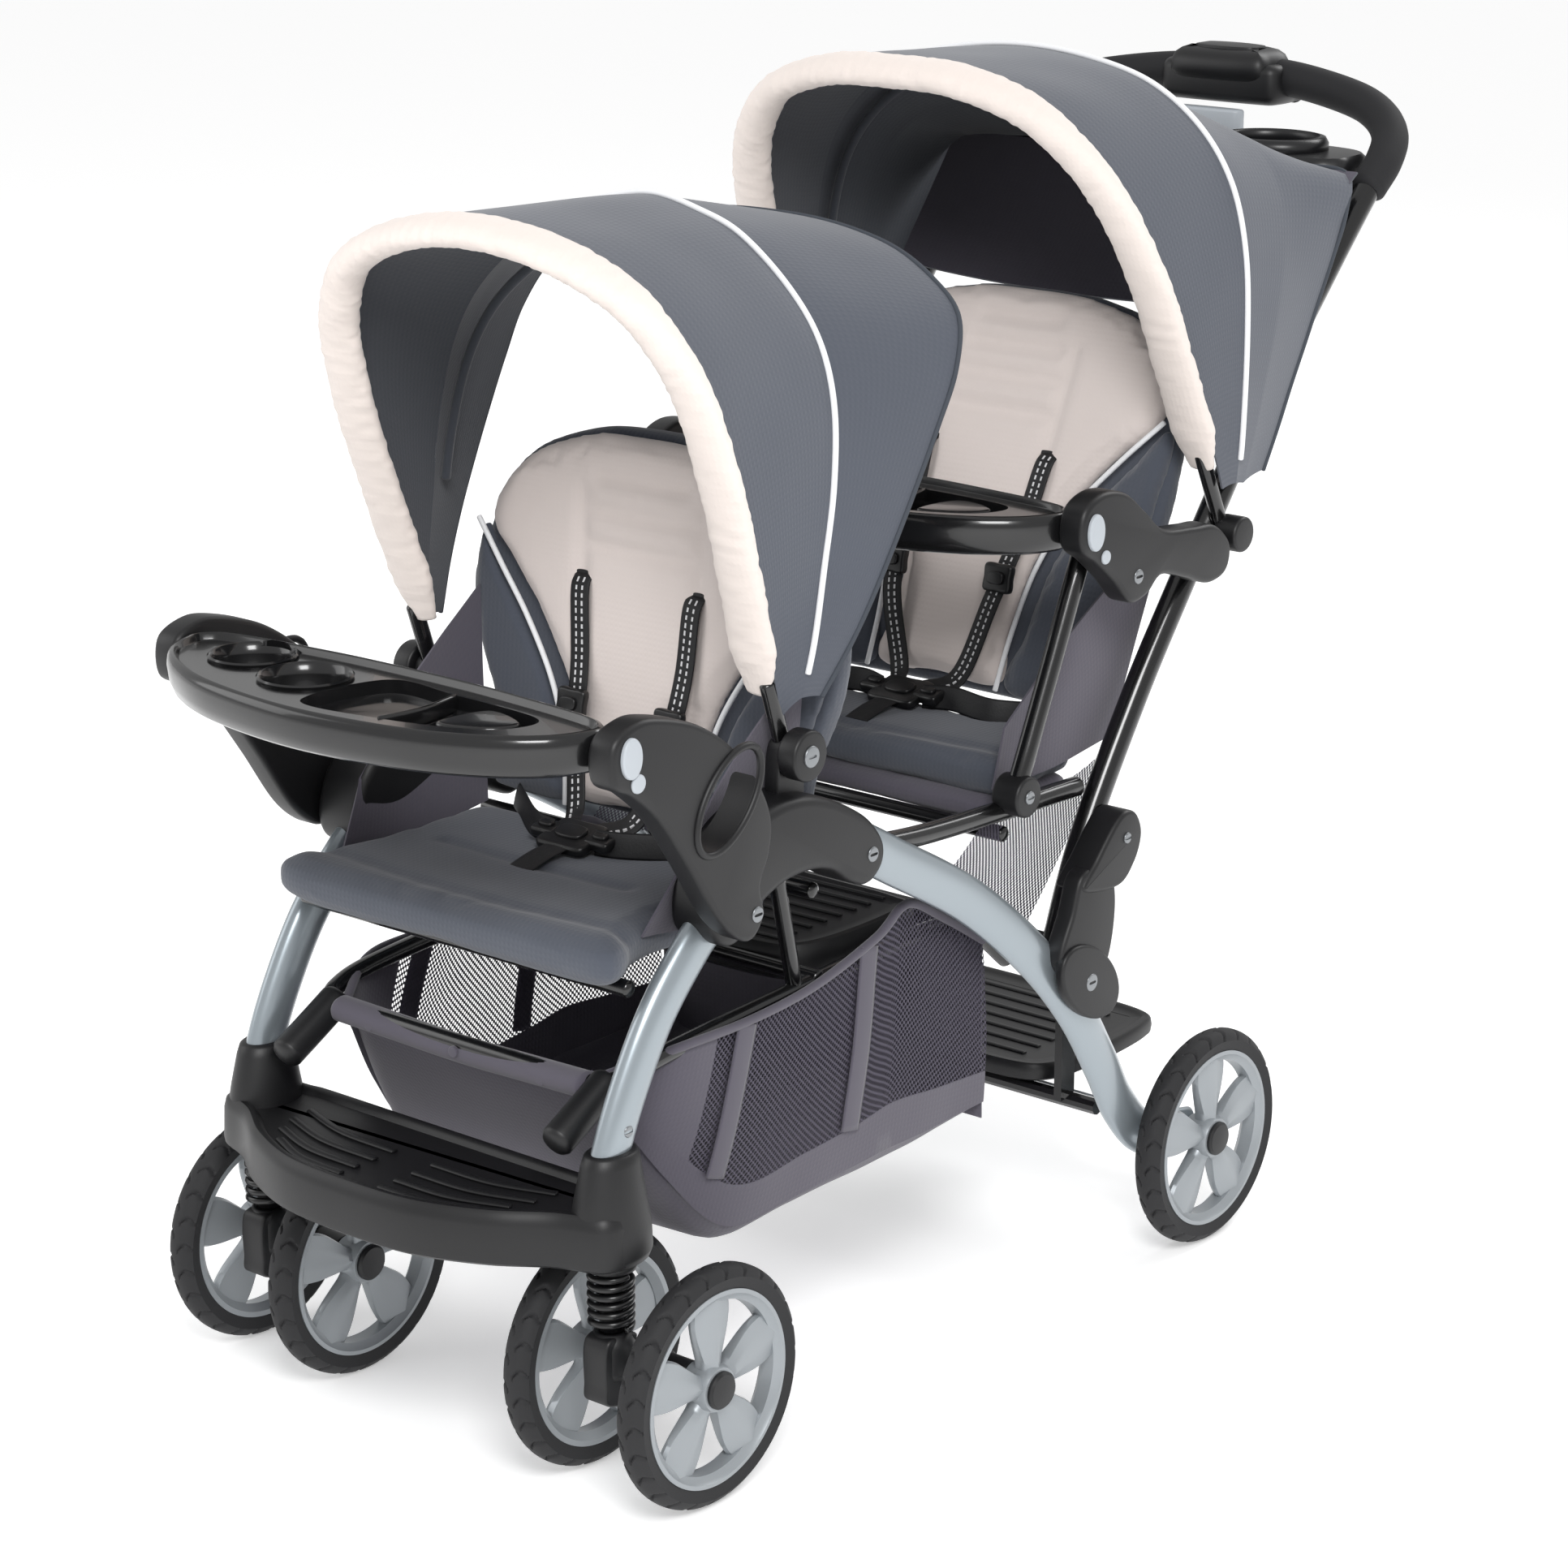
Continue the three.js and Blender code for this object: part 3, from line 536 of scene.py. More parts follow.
FRONT_HUB, REAR_HUB = (-336, 572), (240, 652)
FOLD_AXIS = (16, 295)


def both_ways(half, middle=()):
    """A path from one side's points, through the middle ones and back down the other side."""
    return list(half) + list(middle) + [(-x, y, z) for x, y, z in reversed(half)]


def oval(centre, half_along, half_across, tilt, count=48):
    """An ellipse in the side view, its long half turned tilt radians up from level."""
    turn = np.linspace(0, 2 * math.pi, count, endpoint=False)
    long, short = np.array([math.cos(tilt), math.sin(tilt)]), np.array([-math.sin(tilt), math.cos(tilt)])
    return np.asarray(centre) + np.cos(turn)[:, None] * half_along * long + np.sin(turn)[:,
        None] * half_across * short


def side_slab(name, outline, x0, x1, side, material, body, edge=4, replaces=(), count=160):
    """A plate standing in the side view, from x0 to x1 on the given side."""
    low, high = (x0, x1) if side > 0 else (-x0, -x1)
    return stack(name, outline, rounded(low, high, edge), material, body, replaces, plane=SIDE, count=count)


def screw(name, y, z, x, side, body, radius=6.5):
    head = disc(name, (y, z), radius, x - 3, x + 1.6, screw_steel, body, edge=1.2, side=side)
    slot_cut = side_slab(name + "_cross", [(y - 4, z - 1), (y + 4, z - 1), (y + 4, z + 1), (y - 4, z + 1)],
                         x + 0.4, x + 4, side,
                         grained_plastic, body, edge=0.2, count=24)
    return carve(head, slot_cut)


for label, side in SIDES:
    tube("front_tube_" + label, flipped(FRONT_LEG, side), (12, 19), silver_lacquer, "frame",
         ["front_leg_" + label], sides=40)
    tube("rear_tube_" + label, flipped(REAR_LEG, side), (10, 20), silver_lacquer, "frame",
         ["rear_leg_" + label], sides=40)
    arch = side_slab("arch_" + label, BRACKET, 172, 222, side, grained_plastic, "frame", 9)
    post = side_slab("hub_post_" + label, [(-350, 525), (-350, 575), (-336, 584), (-322, 575), (-322, 525)],
                     187, 202, side,
                     grained_plastic, "frame", 2)
    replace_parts(join_pieces("arch_cover_" + label, [arch, post]), "side_bracket_" + label)
    for k, (y, z) in enumerate([(-429, 474), (-256, 472)]):
        screw(f"arch_screw_{label}_{k}", y, z, 221.5, side, "frame")
    arm = side_slab("arm_" + label, TRAY_ARM, 223, 249, side, grained_plastic, "frame", 5)
    carve(arm, side_slab("arm_hole_" + label, oval((-468, 572), 44, 24, 0.82), 215, 256, side,
                         grained_plastic, "frame", 1))
    ring_path = [(side * 249, y, z) for y, z in oval((-468, 572), 47, 27, 0.82, 24)]
    rim = tube("arm_rim_" + label, ring_path + ring_path[:1], (3.2, 3.2), grained_plastic, "frame",
               sides=12, steps=80)
    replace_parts(join_pieces("tray_support_" + label, [arm, rim]), "tray_arm_" + label)
    screw("arm_screw_" + label, -434, 472, 248.5, side, "frame")
    disc("tray_catch_" + label, (-572, 609), 7.5, 243, 251, button_plastic, "frame", side=side)
    rear_arm = side_slab("rear_arm_" + label, REAR_TRAY_ARM, 223, 249, side, grained_plastic, "frame", 5)
    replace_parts(rear_arm, "rear_tray_arm_" + label)
    screw("rear_arm_screw_" + label, 72, 646, 248.5, side, "frame")
    disc("rear_tray_catch_" + label, (22, 672), 6, 243, 251, button_plastic, "frame", side=side)
    for place, y, z in (("front", -580, 630), ("rear", 6, 696)):
        name = f"{place}_tray_button_{label}"
        low, high = (245.5, 252.5) if side > 0 else (-245.5, -252.5)
        stack(f"{place}_button_cap_{label}", oval((y, z), 16, 11, math.pi / 2), rounded(low, high, 2),
              button_plastic, name, [name],
              plane=SIDE, count=48)
    # Rear joint: a round pivot cover, a strap-shaped cover up the push bar and the fold latch.
    boss = side_slab("fold_boss_" + label, oval(FOLD_AXIS, 50, 29, -0.65), 241, 251, side, grained_plastic,
                     "frame", 3)
    strap = side_slab("fold_strap_" + label, [(-24, 318), (-8, 362), (4, 392), (28, 396), (50, 384),
                                              (56, 350), (46, 306), (20, 286)],
                      228, 247, side, grained_plastic, "frame", 4)
    latch = side_slab("fold_latch_" + label, [(4, 380), (24, 404), (50, 430), (66, 438), (82, 432),
                                              (90, 412), (80, 388), (56, 372)],
                      218, 249, side, grained_plastic, "frame", 4)
    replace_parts(join_pieces("fold_joint_" + label, [boss, strap, latch]), "fold_cover_" + label)
    screw("fold_screw_" + label, *FOLD_AXIS, 250, side, "frame", 8)
    screw("latch_screw_" + label, 66, 414, 249, side, "frame", 5)
    tube("rear_post_tube_" + label, flipped([(208, -38, 484), (208, 3, 572), (208, 44, 662)], side), (9, 9),
         black_lacquer, "frame",
         ["rear_post_" + label], steps=8)
    disc("rear_post_foot_" + label, (-42, 470), 18, 194, 222, grained_plastic, "frame", 3, side)
    screw("rear_post_screw_" + label, -42, 470, 222, side, "frame", 6)
    disc("rear_canopy_pivot_" + label, REAR_HUB, 16, 222, 246, grained_plastic, "rear_canopy_bow", 3, side)
    disc("front_canopy_pivot_" + label, FRONT_HUB, 21, 203, 222, grained_plastic, "front_canopy_bow", 3,
         side)
    screw("front_pivot_screw_" + label, *FRONT_HUB, 222, side, "front_canopy_bow", 9)
    tube("seat_base_tube_" + label, flipped([(196, -300, 478), (197, -180, 462), (197, -45, 455),
                                             (197, 60, 452)], side), (9, 9),
         black_lacquer, "frame", steps=24)
    tube("rail_stay_" + label, flipped([(182, -330, 460), (170, -300, 390), (164, -285, 352)], side),
         (7, 7), black_lacquer, "frame",
         steps=16)

HANDLE_MIDDLE = [(0, 573, 1010)]
tube("push_bar_tube", both_ways(PUSH_SIDE + GRIP_SIDE, HANDLE_MIDDLE), (12, 12), black_lacquer, "frame",
     ["push_bar"], steps=260)
tube("foam_grip", both_ways([(217, 470, 932)] + GRIP_SIDE, HANDLE_MIDDLE), (17, 17), grip_foam, "frame",
     ["handle_grip"],
     steps=160, sides=32)

RAIL = [(174, -6, 306), (168, -40, 335), (166, -100, 356), (166, -300, 350), (166, -440, 342),
        (162, -490, 334), (150, -505, 329),
        (120, -508, 327)]
tube("basket_rail_tube", both_ways(RAIL), (8, 8), black_lacquer, "frame", ["basket_rail"], steps=220,
     sides=20)
for label, side in SIDES:
    tube("rail_tee_" + label, flipped([(151, -558, 298), (151, -530, 313), (151, -503, 328)], side),
         (14, 14), grained_plastic,
         "frame", steps=14, sides=28)
for name, y, z, x, r in (("seat_cross_bar_front", -505, 414, 178, 7),
                         ("seat_cross_bar_rear", -285, 440, 182, 7),
                         ("bench_cross_bar", -262, 356, 170, 7), ("rear_seat_cross_bar", -36, 430, 190, 7),
                         ("bench_cross_bar_rear", -70, 352, 170, 7)):
    tube(name, [(-x, y, z), (0, y, z), (x, y, z)], (r, r), black_lacquer, "frame", steps=10)


# ---------------------------------------------------------------- footrest, trays, step and handle

FOOTREST = [(0, -650), (70, -645), (130, -622), (175, -592), (214, -575), (219, -545), (208, -514),
            (170, -508), (150, -506),
            (60, -506)]
board = stack("footboard", FOOTREST, [(206, 12), (206, 5), (209, 1), (214, 0), (240, 1), (248, 3),
                                      (251.5, 7), (251.5, 11),
                                      (249, 14), (246, 16), (245, 30)], grained_plastic, "frame",
              ["footrest"], mirror=True, count=240)
ridges = []
for side in (1, -1):
    for row, (y, reach) in enumerate(((-622, 96), (-604, 112), (-584, 120), (-562, 122))):
        line = [(side * 22, y - 4, 246), (side * (22 + reach * 0.5), y - 2, 246.2),
                (side * (16 + reach), y + 15, 246)]
        ridges.append(tube(f"foot_tread_{side + 1}_{row}", line, (4, 1.8), grained_plastic, "frame",
                           sides=10, steps=20, across=(0, 1, 0)))
for label, side in SIDES:
    rings = [level_ring(side * 193, y, z, a, b, 60)
             for z, a, b, y in ((207, 26, 36, -545), (214, 29, 38, -545), (236, 28, 37, -545),
                                (262, 24, 32, -545), (286, 20.5, 27, -544),
                                (294, 18.5, 25, -543), (296, 16, 22, -543))]
    faces = grid_faces(7, 60, wrap_columns=True) + [tuple(range(60)), tuple(range(360, 420))]
    ridges.append(piece("leg_socket_" + label, np.vstack(rings), faces, grained_plastic, "frame"))
    screw("leg_screw_" + label, -536, 312, 204, side, "frame", 5)
    stem = [(0.1, 134), (9.5, 134), (9.5, 199), (20, 199.4), (21, 203), (20, 205.6), (0.1, 205.6)]
    collar = [level_ring(side * 194, -546, z, r, r, 60) for r, z in stem]
    piece("stem_" + label, np.vstack(collar), grid_faces(7, 60, wrap_columns=True), grained_plastic,
          "caster_swivel_" + label,
          ["caster_stem_" + label])
join_pieces("footrest_moulding", [board, *ridges])

TRAY = [(0, -692), (100, -680), (165, -655), (205, -624), (221, -592), (218, -572), (190, -556),
        (100, -546), (40, -543)]


def cup(name, x, y, radius, top, depth, material, body):
    """A cup holder: a thin round wall with a rolled lip and a floor."""
    wall = [(radius + 2.5, 0), (radius + 3.5, 2.2), (radius + 2, 3.6), (radius, 2.4), (radius - 2, -6),
            (radius - 5, -depth + 4),
            (radius - 9, -depth), (0.1, -depth), (0.1, -depth - 2.5), (radius - 7, -depth - 2.5),
            (radius - 2.5, -depth + 3), (radius, -6)]
    rings = [level_ring(x, y, top + z, r, r, 72) for r, z in wall]
    made = piece(name, np.vstack(rings), grid_faces(len(wall), 72, wrap_rows=True, wrap_columns=True),
                 material, body)
    crease(made, 50)
    return made


def hole(x, y, radius, low, high, body):
    """A round cutter standing upright."""
    return stack("hole", level_ring(x, y, low, radius, radius, 72)[:, :2], [(low, 0), (high, 0)],
                 cup_plastic, body, count=72)


def snack_tray(name, body, dy, top):
    """A lap tray with two cup holders and a pocket, dy mm behind the front one's place."""
    outline = [(x, y + dy) for x, y in TRAY]
    levels = [(top - 34, 9), (top - 31, 5), (top - 22, 1.5), (top - 10, 0), (top - 4, 1), (top - 0.8, 3.5),
              (top, 6),
              (top - 1.5, 8), (top - 5, 9), (top - 6, 10)]
    slab = stack(name + "_slab", outline, levels, polished_plastic, body, mirror=True, count=240)
    pocket = [(-22, -655 + dy), (60, -652 + dy), (130, -630 + dy), (158, -604 + dy), (150, -574 + dy),
              (60, -567 + dy), (-14, -568 + dy)]
    cups = ((-144, -588 + dy, 33), (-66, -606 + dy, 35))
    cutters = [hole(x, y, r - 0.5, top - 60, top + 10, body) for x, y, r in cups]
    cutters.append(stack("pocket_cut", pocket, [(top - 20, 6), (top - 17, 1), (top + 8, 0)], cup_plastic,
                         body, count=96))
    carve(slab, *cutters)
    parts = [slab] + [cup(f"{name}_cup_{k}", x, y, r, top - 6, 34, polished_plastic, body)
                      for k, (x, y, r) in enumerate(cups)]
    rib = tube(name + "_rib", [(60, -652 + dy, top - 12), (66, -610 + dy, top - 12),
                               (60, -568 + dy, top - 12)], (1.4, 8), polished_plastic,
               body, sides=10, steps=10)
    pad = stack(name + "_rest", [(96, -628 + dy), (136, -616 + dy), (146, -588 + dy), (104, -578 + dy)],
                rounded(top - 22, top - 7, 3), polished_plastic, body, count=64)
    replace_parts(join_pieces(name, [*parts, rib, pad]), body)


snack_tray("snack_tray_front", "front_tray", 0, 648)
snack_tray("snack_tray_rear", "rear_tray", 587, 710)

STEP_BOARD = [(0, 70), (120, 70), (158, 92), (166, 150), (160, 235), (140, 262), (60, 268)]
step = stack("step_board", STEP_BOARD, [(158, 16), (158, 6), (161, 1), (168, 0), (174, 1), (176, 3),
                                        (176, 8), (174.5, 10), (174, 20)],
             grained_plastic, "frame", ["standing_platform"], mirror=True)
treads = [tube(f"step_tread_{k}", [(-120, 100 + 22 * k, 174.4), (0, 100 + 22 * k, 174.4),
                                   (120, 100 + 22 * k, 174.4)], (3.4, 1.6),
               grained_plastic, "frame", sides=10, steps=12, across=(0, 1, 0)) for k in range(7)]
join_pieces("step_moulding", [step, *treads])
BENCH = [(0, -262), (100, -260), (140, -240), (150, -170), (142, -96), (110, -82), (50, -80)]
bench = stack("bench_top", BENCH, [(340, 16), (340, 6), (344, 1), (352, 0), (366, 2), (371, 5), (372, 9),
                                   (370.5, 12), (370, 22)],
              grained_plastic, "frame", ["bench_seat"], mirror=True)
ribs = [tube(f"bench_rib_{k}", [(-110, -238 + 20 * k, 370.4), (0, -240 + 20 * k, 370.4),
                                (110, -238 + 20 * k, 370.4)], (3, 1.5),
             grained_plastic, "frame", sides=10, steps=12, across=(0, 1, 0)) for k in range(8)]
join_pieces("bench_moulding", [bench, *ribs])

PARENT = [(0, 432), (150, 436), (192, 452), (197, 480), (188, 512), (150, 530), (60, 534)]
tray = stack("parent_slab", PARENT, [(912, 9), (916, 5), (924, 1.5), (936, 0), (946, 0), (953, 1.5),
                                     (956, 5)], cup_plastic,
             "frame", mirror=True, count=240)
carve(tray, *[hole(x, 486, 41, 880, 990, "frame") for x in (102, -102)])
holders = [cup(f"parent_cup_{k}", x, 486, 43, 958, 58, cup_plastic, "frame")
           for k, x in enumerate((102, -102))]
collars = []
for k, x in enumerate((102, -102)):
    wall = [(54, 952), (54, 962), (51, 967), (46, 968), (43.4, 965), (43.4, 952)]
    rings = [level_ring(x, 486, z, r, r * 0.86, 72) for r, z in wall]
    collars.append(piece(f"parent_collar_{k}", np.vstack(rings),
                         grid_faces(6, 72, wrap_rows=True, wrap_columns=True), cup_plastic, "frame"))
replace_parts(join_pieces("parent_tray_moulding", [tray, *holders, *collars]), "parent_tray")
stack("storage_lid", [(-48, 446), (0, 445), (48, 446), (49, 484), (48, 522), (0, 523), (-48, 522),
                      (-49, 484)],
      rounded(956.4, 960, 1.5), cup_plastic, "parent_tray_lid", ["parent_tray_lid"], count=96)

# Handle console: a plum top shell over a black clamp, with the grey fold release under it.
clamp = stack("console_clamp", [(-64, 548), (-40, 540), (40, 540), (64, 548), (66, 580), (56, 596),
                                (-56, 596), (-66, 580)],
              rounded(984, 1022, 9), grained_plastic, "frame")
shell = stack("console_shell", [(-46, 538), (0, 534), (46, 538), (54, 556), (56, 580), (40, 598), (0, 601),
                                (-40, 598), (-56, 580), (-54, 556)],
              [(1006, 4), (1012, 0), (1022, 0), (1029, 4), (1033, 10), (1035.5, 20)], console_plastic,
              "frame")
dial = stack("console_oval", [(-30, 552), (0, 547), (30, 552), (34, 566), (30, 580), (0, 586), (-30, 580),
                              (-34, 566)],
             [(1034, 0), (1036.4, 1), (1037, 4)], console_plastic, "frame")
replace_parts(join_pieces("console_cover", [clamp, shell, dial]), "console")
stack("release_lever", [(-32, 529), (0, 527), (30, 529), (30, 542), (-32, 542)], rounded(958, 980, 3),
      button_plastic,
      "fold_release", ["fold_release"], count=64)


# ---------------------------------------------------------------- cloth helpers

def cloth_grid(name, grid, outer, lining, body, inside, thickness=2.0,
               replaces=()):
    """A sheet with its lining on the inner face. inside is a point that the outer face looks away from."""
    grid = np.asarray(grid, float)
    rows, columns = grid.shape[:2]
    normal = np.cross(np.gradient(grid, axis=0), np.gradient(grid, axis=1))
    normal /= np.linalg.norm(normal, axis=2)[:, :, None] + 1e-9
    if np.sum(normal * (grid - np.asarray(inside, float))) < 0:
        normal = -normal
    inner = grid - normal * thickness
    step_u = np.linalg.norm(np.diff(grid, axis=0), axis=2)
    step_v = np.linalg.norm(np.diff(grid, axis=1), axis=2)
    u = np.vstack([np.zeros(columns), np.cumsum(np.tile(step_u.mean(axis=1)[:, None], (1, columns)),
                                                axis=0)])
    v = np.hstack([np.zeros((rows, 1)), np.cumsum(step_v, axis=1)])
    uvs = np.stack([u, v], axis=2).reshape(-1, 2) / 1000
    count = rows * columns
    faces = grid_faces(rows, columns)
    back = [tuple(count + i for i in reversed(f)) for f in faces]
    edge = []
    for j in range(columns - 1):
        edge += [(j, j + 1, count + j + 1, count + j),
                 ((rows - 1) * columns + j, (rows - 1) * columns + j + 1,
                 count + (rows - 1) * columns + j + 1, count + (rows - 1) * columns + j)]
    for i in range(rows - 1):
        a, b = i * columns, (i + 1) * columns
        edge += [(a, b, count + b, count + a),
                 (a + columns - 1, b + columns - 1, count + b + columns - 1, count + a + columns - 1)]
    made = piece(name, np.vstack([grid.reshape(-1, 3), inner.reshape(-1, 3)]), faces + back + edge, outer,
                 None, replaces,
                 uvs=np.vstack([uvs, uvs]))
    dress(made, outer, lining)
    for k, polygon in enumerate(made.data.polygons):
        polygon.material_index = 1 if len(faces) <= k < 2 * len(faces) else 0
    crease(made, 60)
    if body:
        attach(made, body)
    return made


def arch(half, count=97):
    """An arch of (x, reach from the hub) from one side's points."""
    return spline(list(half) + [(-x, s) for x, s in reversed(half) if x > 0], count)


def turned(hub, profile, degrees):
    """The arch in the plane that stands at degrees from level, measured from straight ahead."""
    a = np.radians(degrees)
    return np.stack([profile[:, 0], hub[0] - profile[:, 1] * np.cos(a), hub[1] + profile[:, 1] * np.sin(a)],
                    axis=1)


def canopy_cloth_rows(hub, ribs, rows, sag):
    """A cloth through ribs of (degrees, half arch), dipping by sag of its reach between them."""
    angles = [degrees for degrees, _ in ribs]
    arches = np.stack([arch(half) for _, half in ribs])
    grid = []
    for degrees in np.linspace(angles[0], angles[-1], rows):
        k = min(max(np.searchsorted(angles, degrees) - 1, 0), len(angles) - 2)
        t = (degrees - angles[k]) / (angles[k + 1] - angles[k])
        profile = arches[k] * (1 - t) + arches[k + 1] * t
        dip = 1 - sag * math.sin(math.pi * t) * np.clip((profile[:, 1] - 60) / 200, 0, 1)
        row = turned(hub, np.stack([profile[:, 0], profile[:, 1] * dip], axis=1), degrees)
        grid.append([p + np.array([1, 0, 1]) * 0.9 * wobble(*p, 70) for p in row])
    return np.array(grid)


def bow_sleeve(name, hub, half, degrees, body, node, start=0, wide=22, slim=12, deep_low=10, deep_top=19):
    """The padded cream sleeve round the front bow, puckered along its seams."""
    outer = arch(half, 420)[start:420 - start]
    count = len(outer)
    run = np.gradient(outer, axis=0)
    run /= np.linalg.norm(run, axis=1)[:, None]
    inward = np.stack([-run[:, 1], run[:, 0]], axis=1)
    inward *= np.sign(np.sum(inward * (np.array([0, 200]) - outer), axis=1))[:, None]
    a = math.radians(degrees)
    square = np.array([0, math.sin(a), math.cos(a)])
    verts = []
    for k in range(count):
        lie = abs(inward[k, 1]) ** 1.5
        half_in, half_deep = wide + (slim - wide) * lie, deep_low + (deep_top - deep_low) * lie
        taper = min(1, 0.55 + min(k, count - 1 - k) / 30)
        centre = outer[k] + inward[k] * half_in
        for turn in np.linspace(0, 2 * math.pi, 36, endpoint=False):
            pucker = 1 + 0.08 * wobble(k * 3.1, turn * 9, 0, 9) + 0.03 * wobble(k, turn * 14, 4, 30)
            seam = 1 - 0.10 * math.exp(-((turn - math.pi / 2) / 0.09) ** 2)
            flat = centre - inward[k] * half_in * math.cos(turn) * pucker * taper
            place = turned(hub, flat[None, :], degrees)[0]
            verts.append(place + square * half_deep * math.sin(turn) * pucker * taper * seam)
    faces = grid_faces(count, 36, wrap_columns=True) + [tuple(range(36)),
                                                        tuple(range((count - 1) * 36, count * 36))]
    made = piece(name, verts, faces, cream_sleeve, body, node)
    weave_uvs(made)
    return made


def weave_uvs(thing):
    """Lays the weave over a padded piece from whichever way each face looks."""
    mesh = thing.data
    layer = mesh.uv_layers.get("cloth") or mesh.uv_layers.new(name="cloth")
    co = np.array([v.co for v in mesh.vertices])
    uvs = np.zeros((len(mesh.loops), 2), np.float32)
    for polygon in mesh.polygons:
        drop = int(np.argmax(np.abs(polygon.normal)))
        keep = [k for k in range(3) if k != drop]
        for loop in polygon.loop_indices:
            uvs[loop] = co[mesh.loops[loop].vertex_index][keep]
    layer.data.foreach_set("uv", uvs.ravel())


def beading(name, path, radius, material, body, steps=260):
    return tube(name, path, (radius, radius), material, body, sides=10, steps=steps)


# ---------------------------------------------------------------- canopies

FRONT_BOW = [(203, 30), (208, 90), (214, 163), (217, 248), (211, 310), (197, 351), (168, 392), (123, 420),
             (66, 438), (0, 445)]
FRONT_MID = [(206, 44), (212, 90), (214, 149), (215, 213), (207, 274), (186, 322), (149, 361), (97, 396),
             (52, 411), (0, 420)]
FRONT_REAR = [(210, 48), (224, 110), (232, 190), (236, 270), (235, 335), (214, 382), (150, 418), (80, 436),
              (0, 441)]
REAR_BOW = [(240, 48), (241, 90), (240, 183), (236, 267), (219, 339), (190, 393), (144, 435), (74, 459),
            (0, 463)]
REAR_MID = [(236, 46), (240, 90), (242, 180), (238, 250), (222, 308), (188, 354), (136, 388), (70, 405),
            (0, 411)]
REAR_BACK = [(232, 44), (236, 110), (238, 190), (234, 255), (216, 310), (176, 345), (110, 365), (56, 372),
             (0, 374)]
REAR_CORNER = [(226, 56), (226, 130), (228, 220), (229, 300), (224, 345), (196, 356), (120, 360), (60, 361),
               (0, 361)]


def grown(half, by):
    """The half arch brought in by so many mm."""
    return [(max(x - by, 0) if x else 0, s - (by if s > 60 else 0)) for x, s in half]


def canopy(label, hub, bow, mid, ribs, bow_angle, mid_angle, nodes, flare):
    """One canopy. flare is how far its rear lower corners hang behind the last rib."""
    body = label + "_canopy_bow"
    bow_sleeve(label + "_bow_sleeve", hub, bow, bow_angle, body, [label + "_canopy_bow"], start=8)
    front = canopy_cloth_rows(hub, [(bow_angle + 1.2, grown(bow, 5)), (mid_angle, mid)], 26, 0.022)
    inside = (0, hub[0], hub[1] + 180)
    sheet = cloth_grid(label + "_canopy_front_cloth", front, canopy_cloth, canopy_lining, None, inside)
    a = math.radians((bow_angle + mid_angle) / 2)
    across = np.array([0, -math.sin(a), -math.cos(a)]) * 45
    centre = np.array([0, hub[0], hub[1]])
    tuple(at(centre - across))
    tuple(at(centre + across))
    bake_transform(sheet)
    rear = canopy_cloth_rows(hub, [(mid_angle, mid), *ribs], 40, 0.016)
    low = np.clip((hub[1] + 260 - rear[..., 2]) / 200, 0, 1)
    rear[..., 1] += flare * np.linspace(0, 1, 40)[:, None] ** 2 * low
    cloth_grid(label + "_canopy_rear_cloth", rear, canopy_cloth, canopy_lining, "frame", inside,
               replaces=nodes)
    lifted = arch(mid, 97) * [1.004, 1.004]
    beading(label + "_piping", turned(hub, lifted, mid_angle)[2:-2], 2.6, white_piping, "frame")
    beading(label + "_rear_binding", rear[-1][::4], 2.2, slate_piping, "frame")
    seam = arch(grown(mid, 4), 97)
    beading(label + "_rib_seam", turned(hub, seam * [0.98, 0.972], mid_angle + 3)[12:-12], 4.2,
            canopy_lining, "frame")


canopy("front", FRONT_HUB, FRONT_BOW, FRONT_MID, [(119.5, FRONT_REAR)], 71, 99, ["front_canopy_cloth"], 4)
canopy("rear", REAR_HUB, REAR_BOW, REAR_MID, [(105, REAR_BACK), (123.5, REAR_CORNER)], 64, 89,
       ["rear_canopy_cloth"], 26)

# The rear canopy's back wall, from the seat back's top up to the handle.
wall = []
for t in np.linspace(0, 1, 16):
    for x in np.linspace(-1, 1, 41):
        wide = 226 - 22 * (1 - t)
        y = 318 + 118 * t + 14 * math.sin(math.pi * t) * (1 - x * x)
        z = 838 + 110 * t - 10 * (1 - x * x) * (1 - t)
        wall.append((x * wide, y, z))
cloth_grid("rear_canopy_back_wall", np.array(wall).reshape(16, 41, 3), canopy_lining, side_cloth, "frame",
           (0, 200, 700))
for label, side in SIDES:
    for name, hub, degrees, reach, x in (("front", FRONT_HUB, 71, 62, 194),
                                         ("rear", REAR_HUB, 64, 84, 222)):
        a = math.radians(degrees)
        path = [(side * x, hub[0] - s * math.cos(a), hub[1] + s * math.sin(a)) for s in (0, reach / 2,
            reach)]
        tube(f"{name}_bow_arm_{label}", path, (6, 8), black_lacquer, name + "_canopy_bow", steps=10)


# ---------------------------------------------------------------- seats

def remeshed(thing, voxel):
    cells = thing.modifiers.new("cells", "REMESH")
    cells.mode = "VOXEL"
    cells.voxel_size = voxel / 1000
    return applied(thing)


def applied(thing):
    bpy.context.view_layer.update()
    materials = list(thing.data.materials)
    mesh = bpy.data.meshes.new_from_object(thing.evaluated_get(bpy.context.evaluated_depsgraph_get()))
    thing.modifiers.clear()
    thing.data = mesh
    mesh.materials.clear()
    for material in materials:
        mesh.materials.append(material)
    mesh.polygons.foreach_set("use_smooth", [True] * len(mesh.polygons))
    return thing


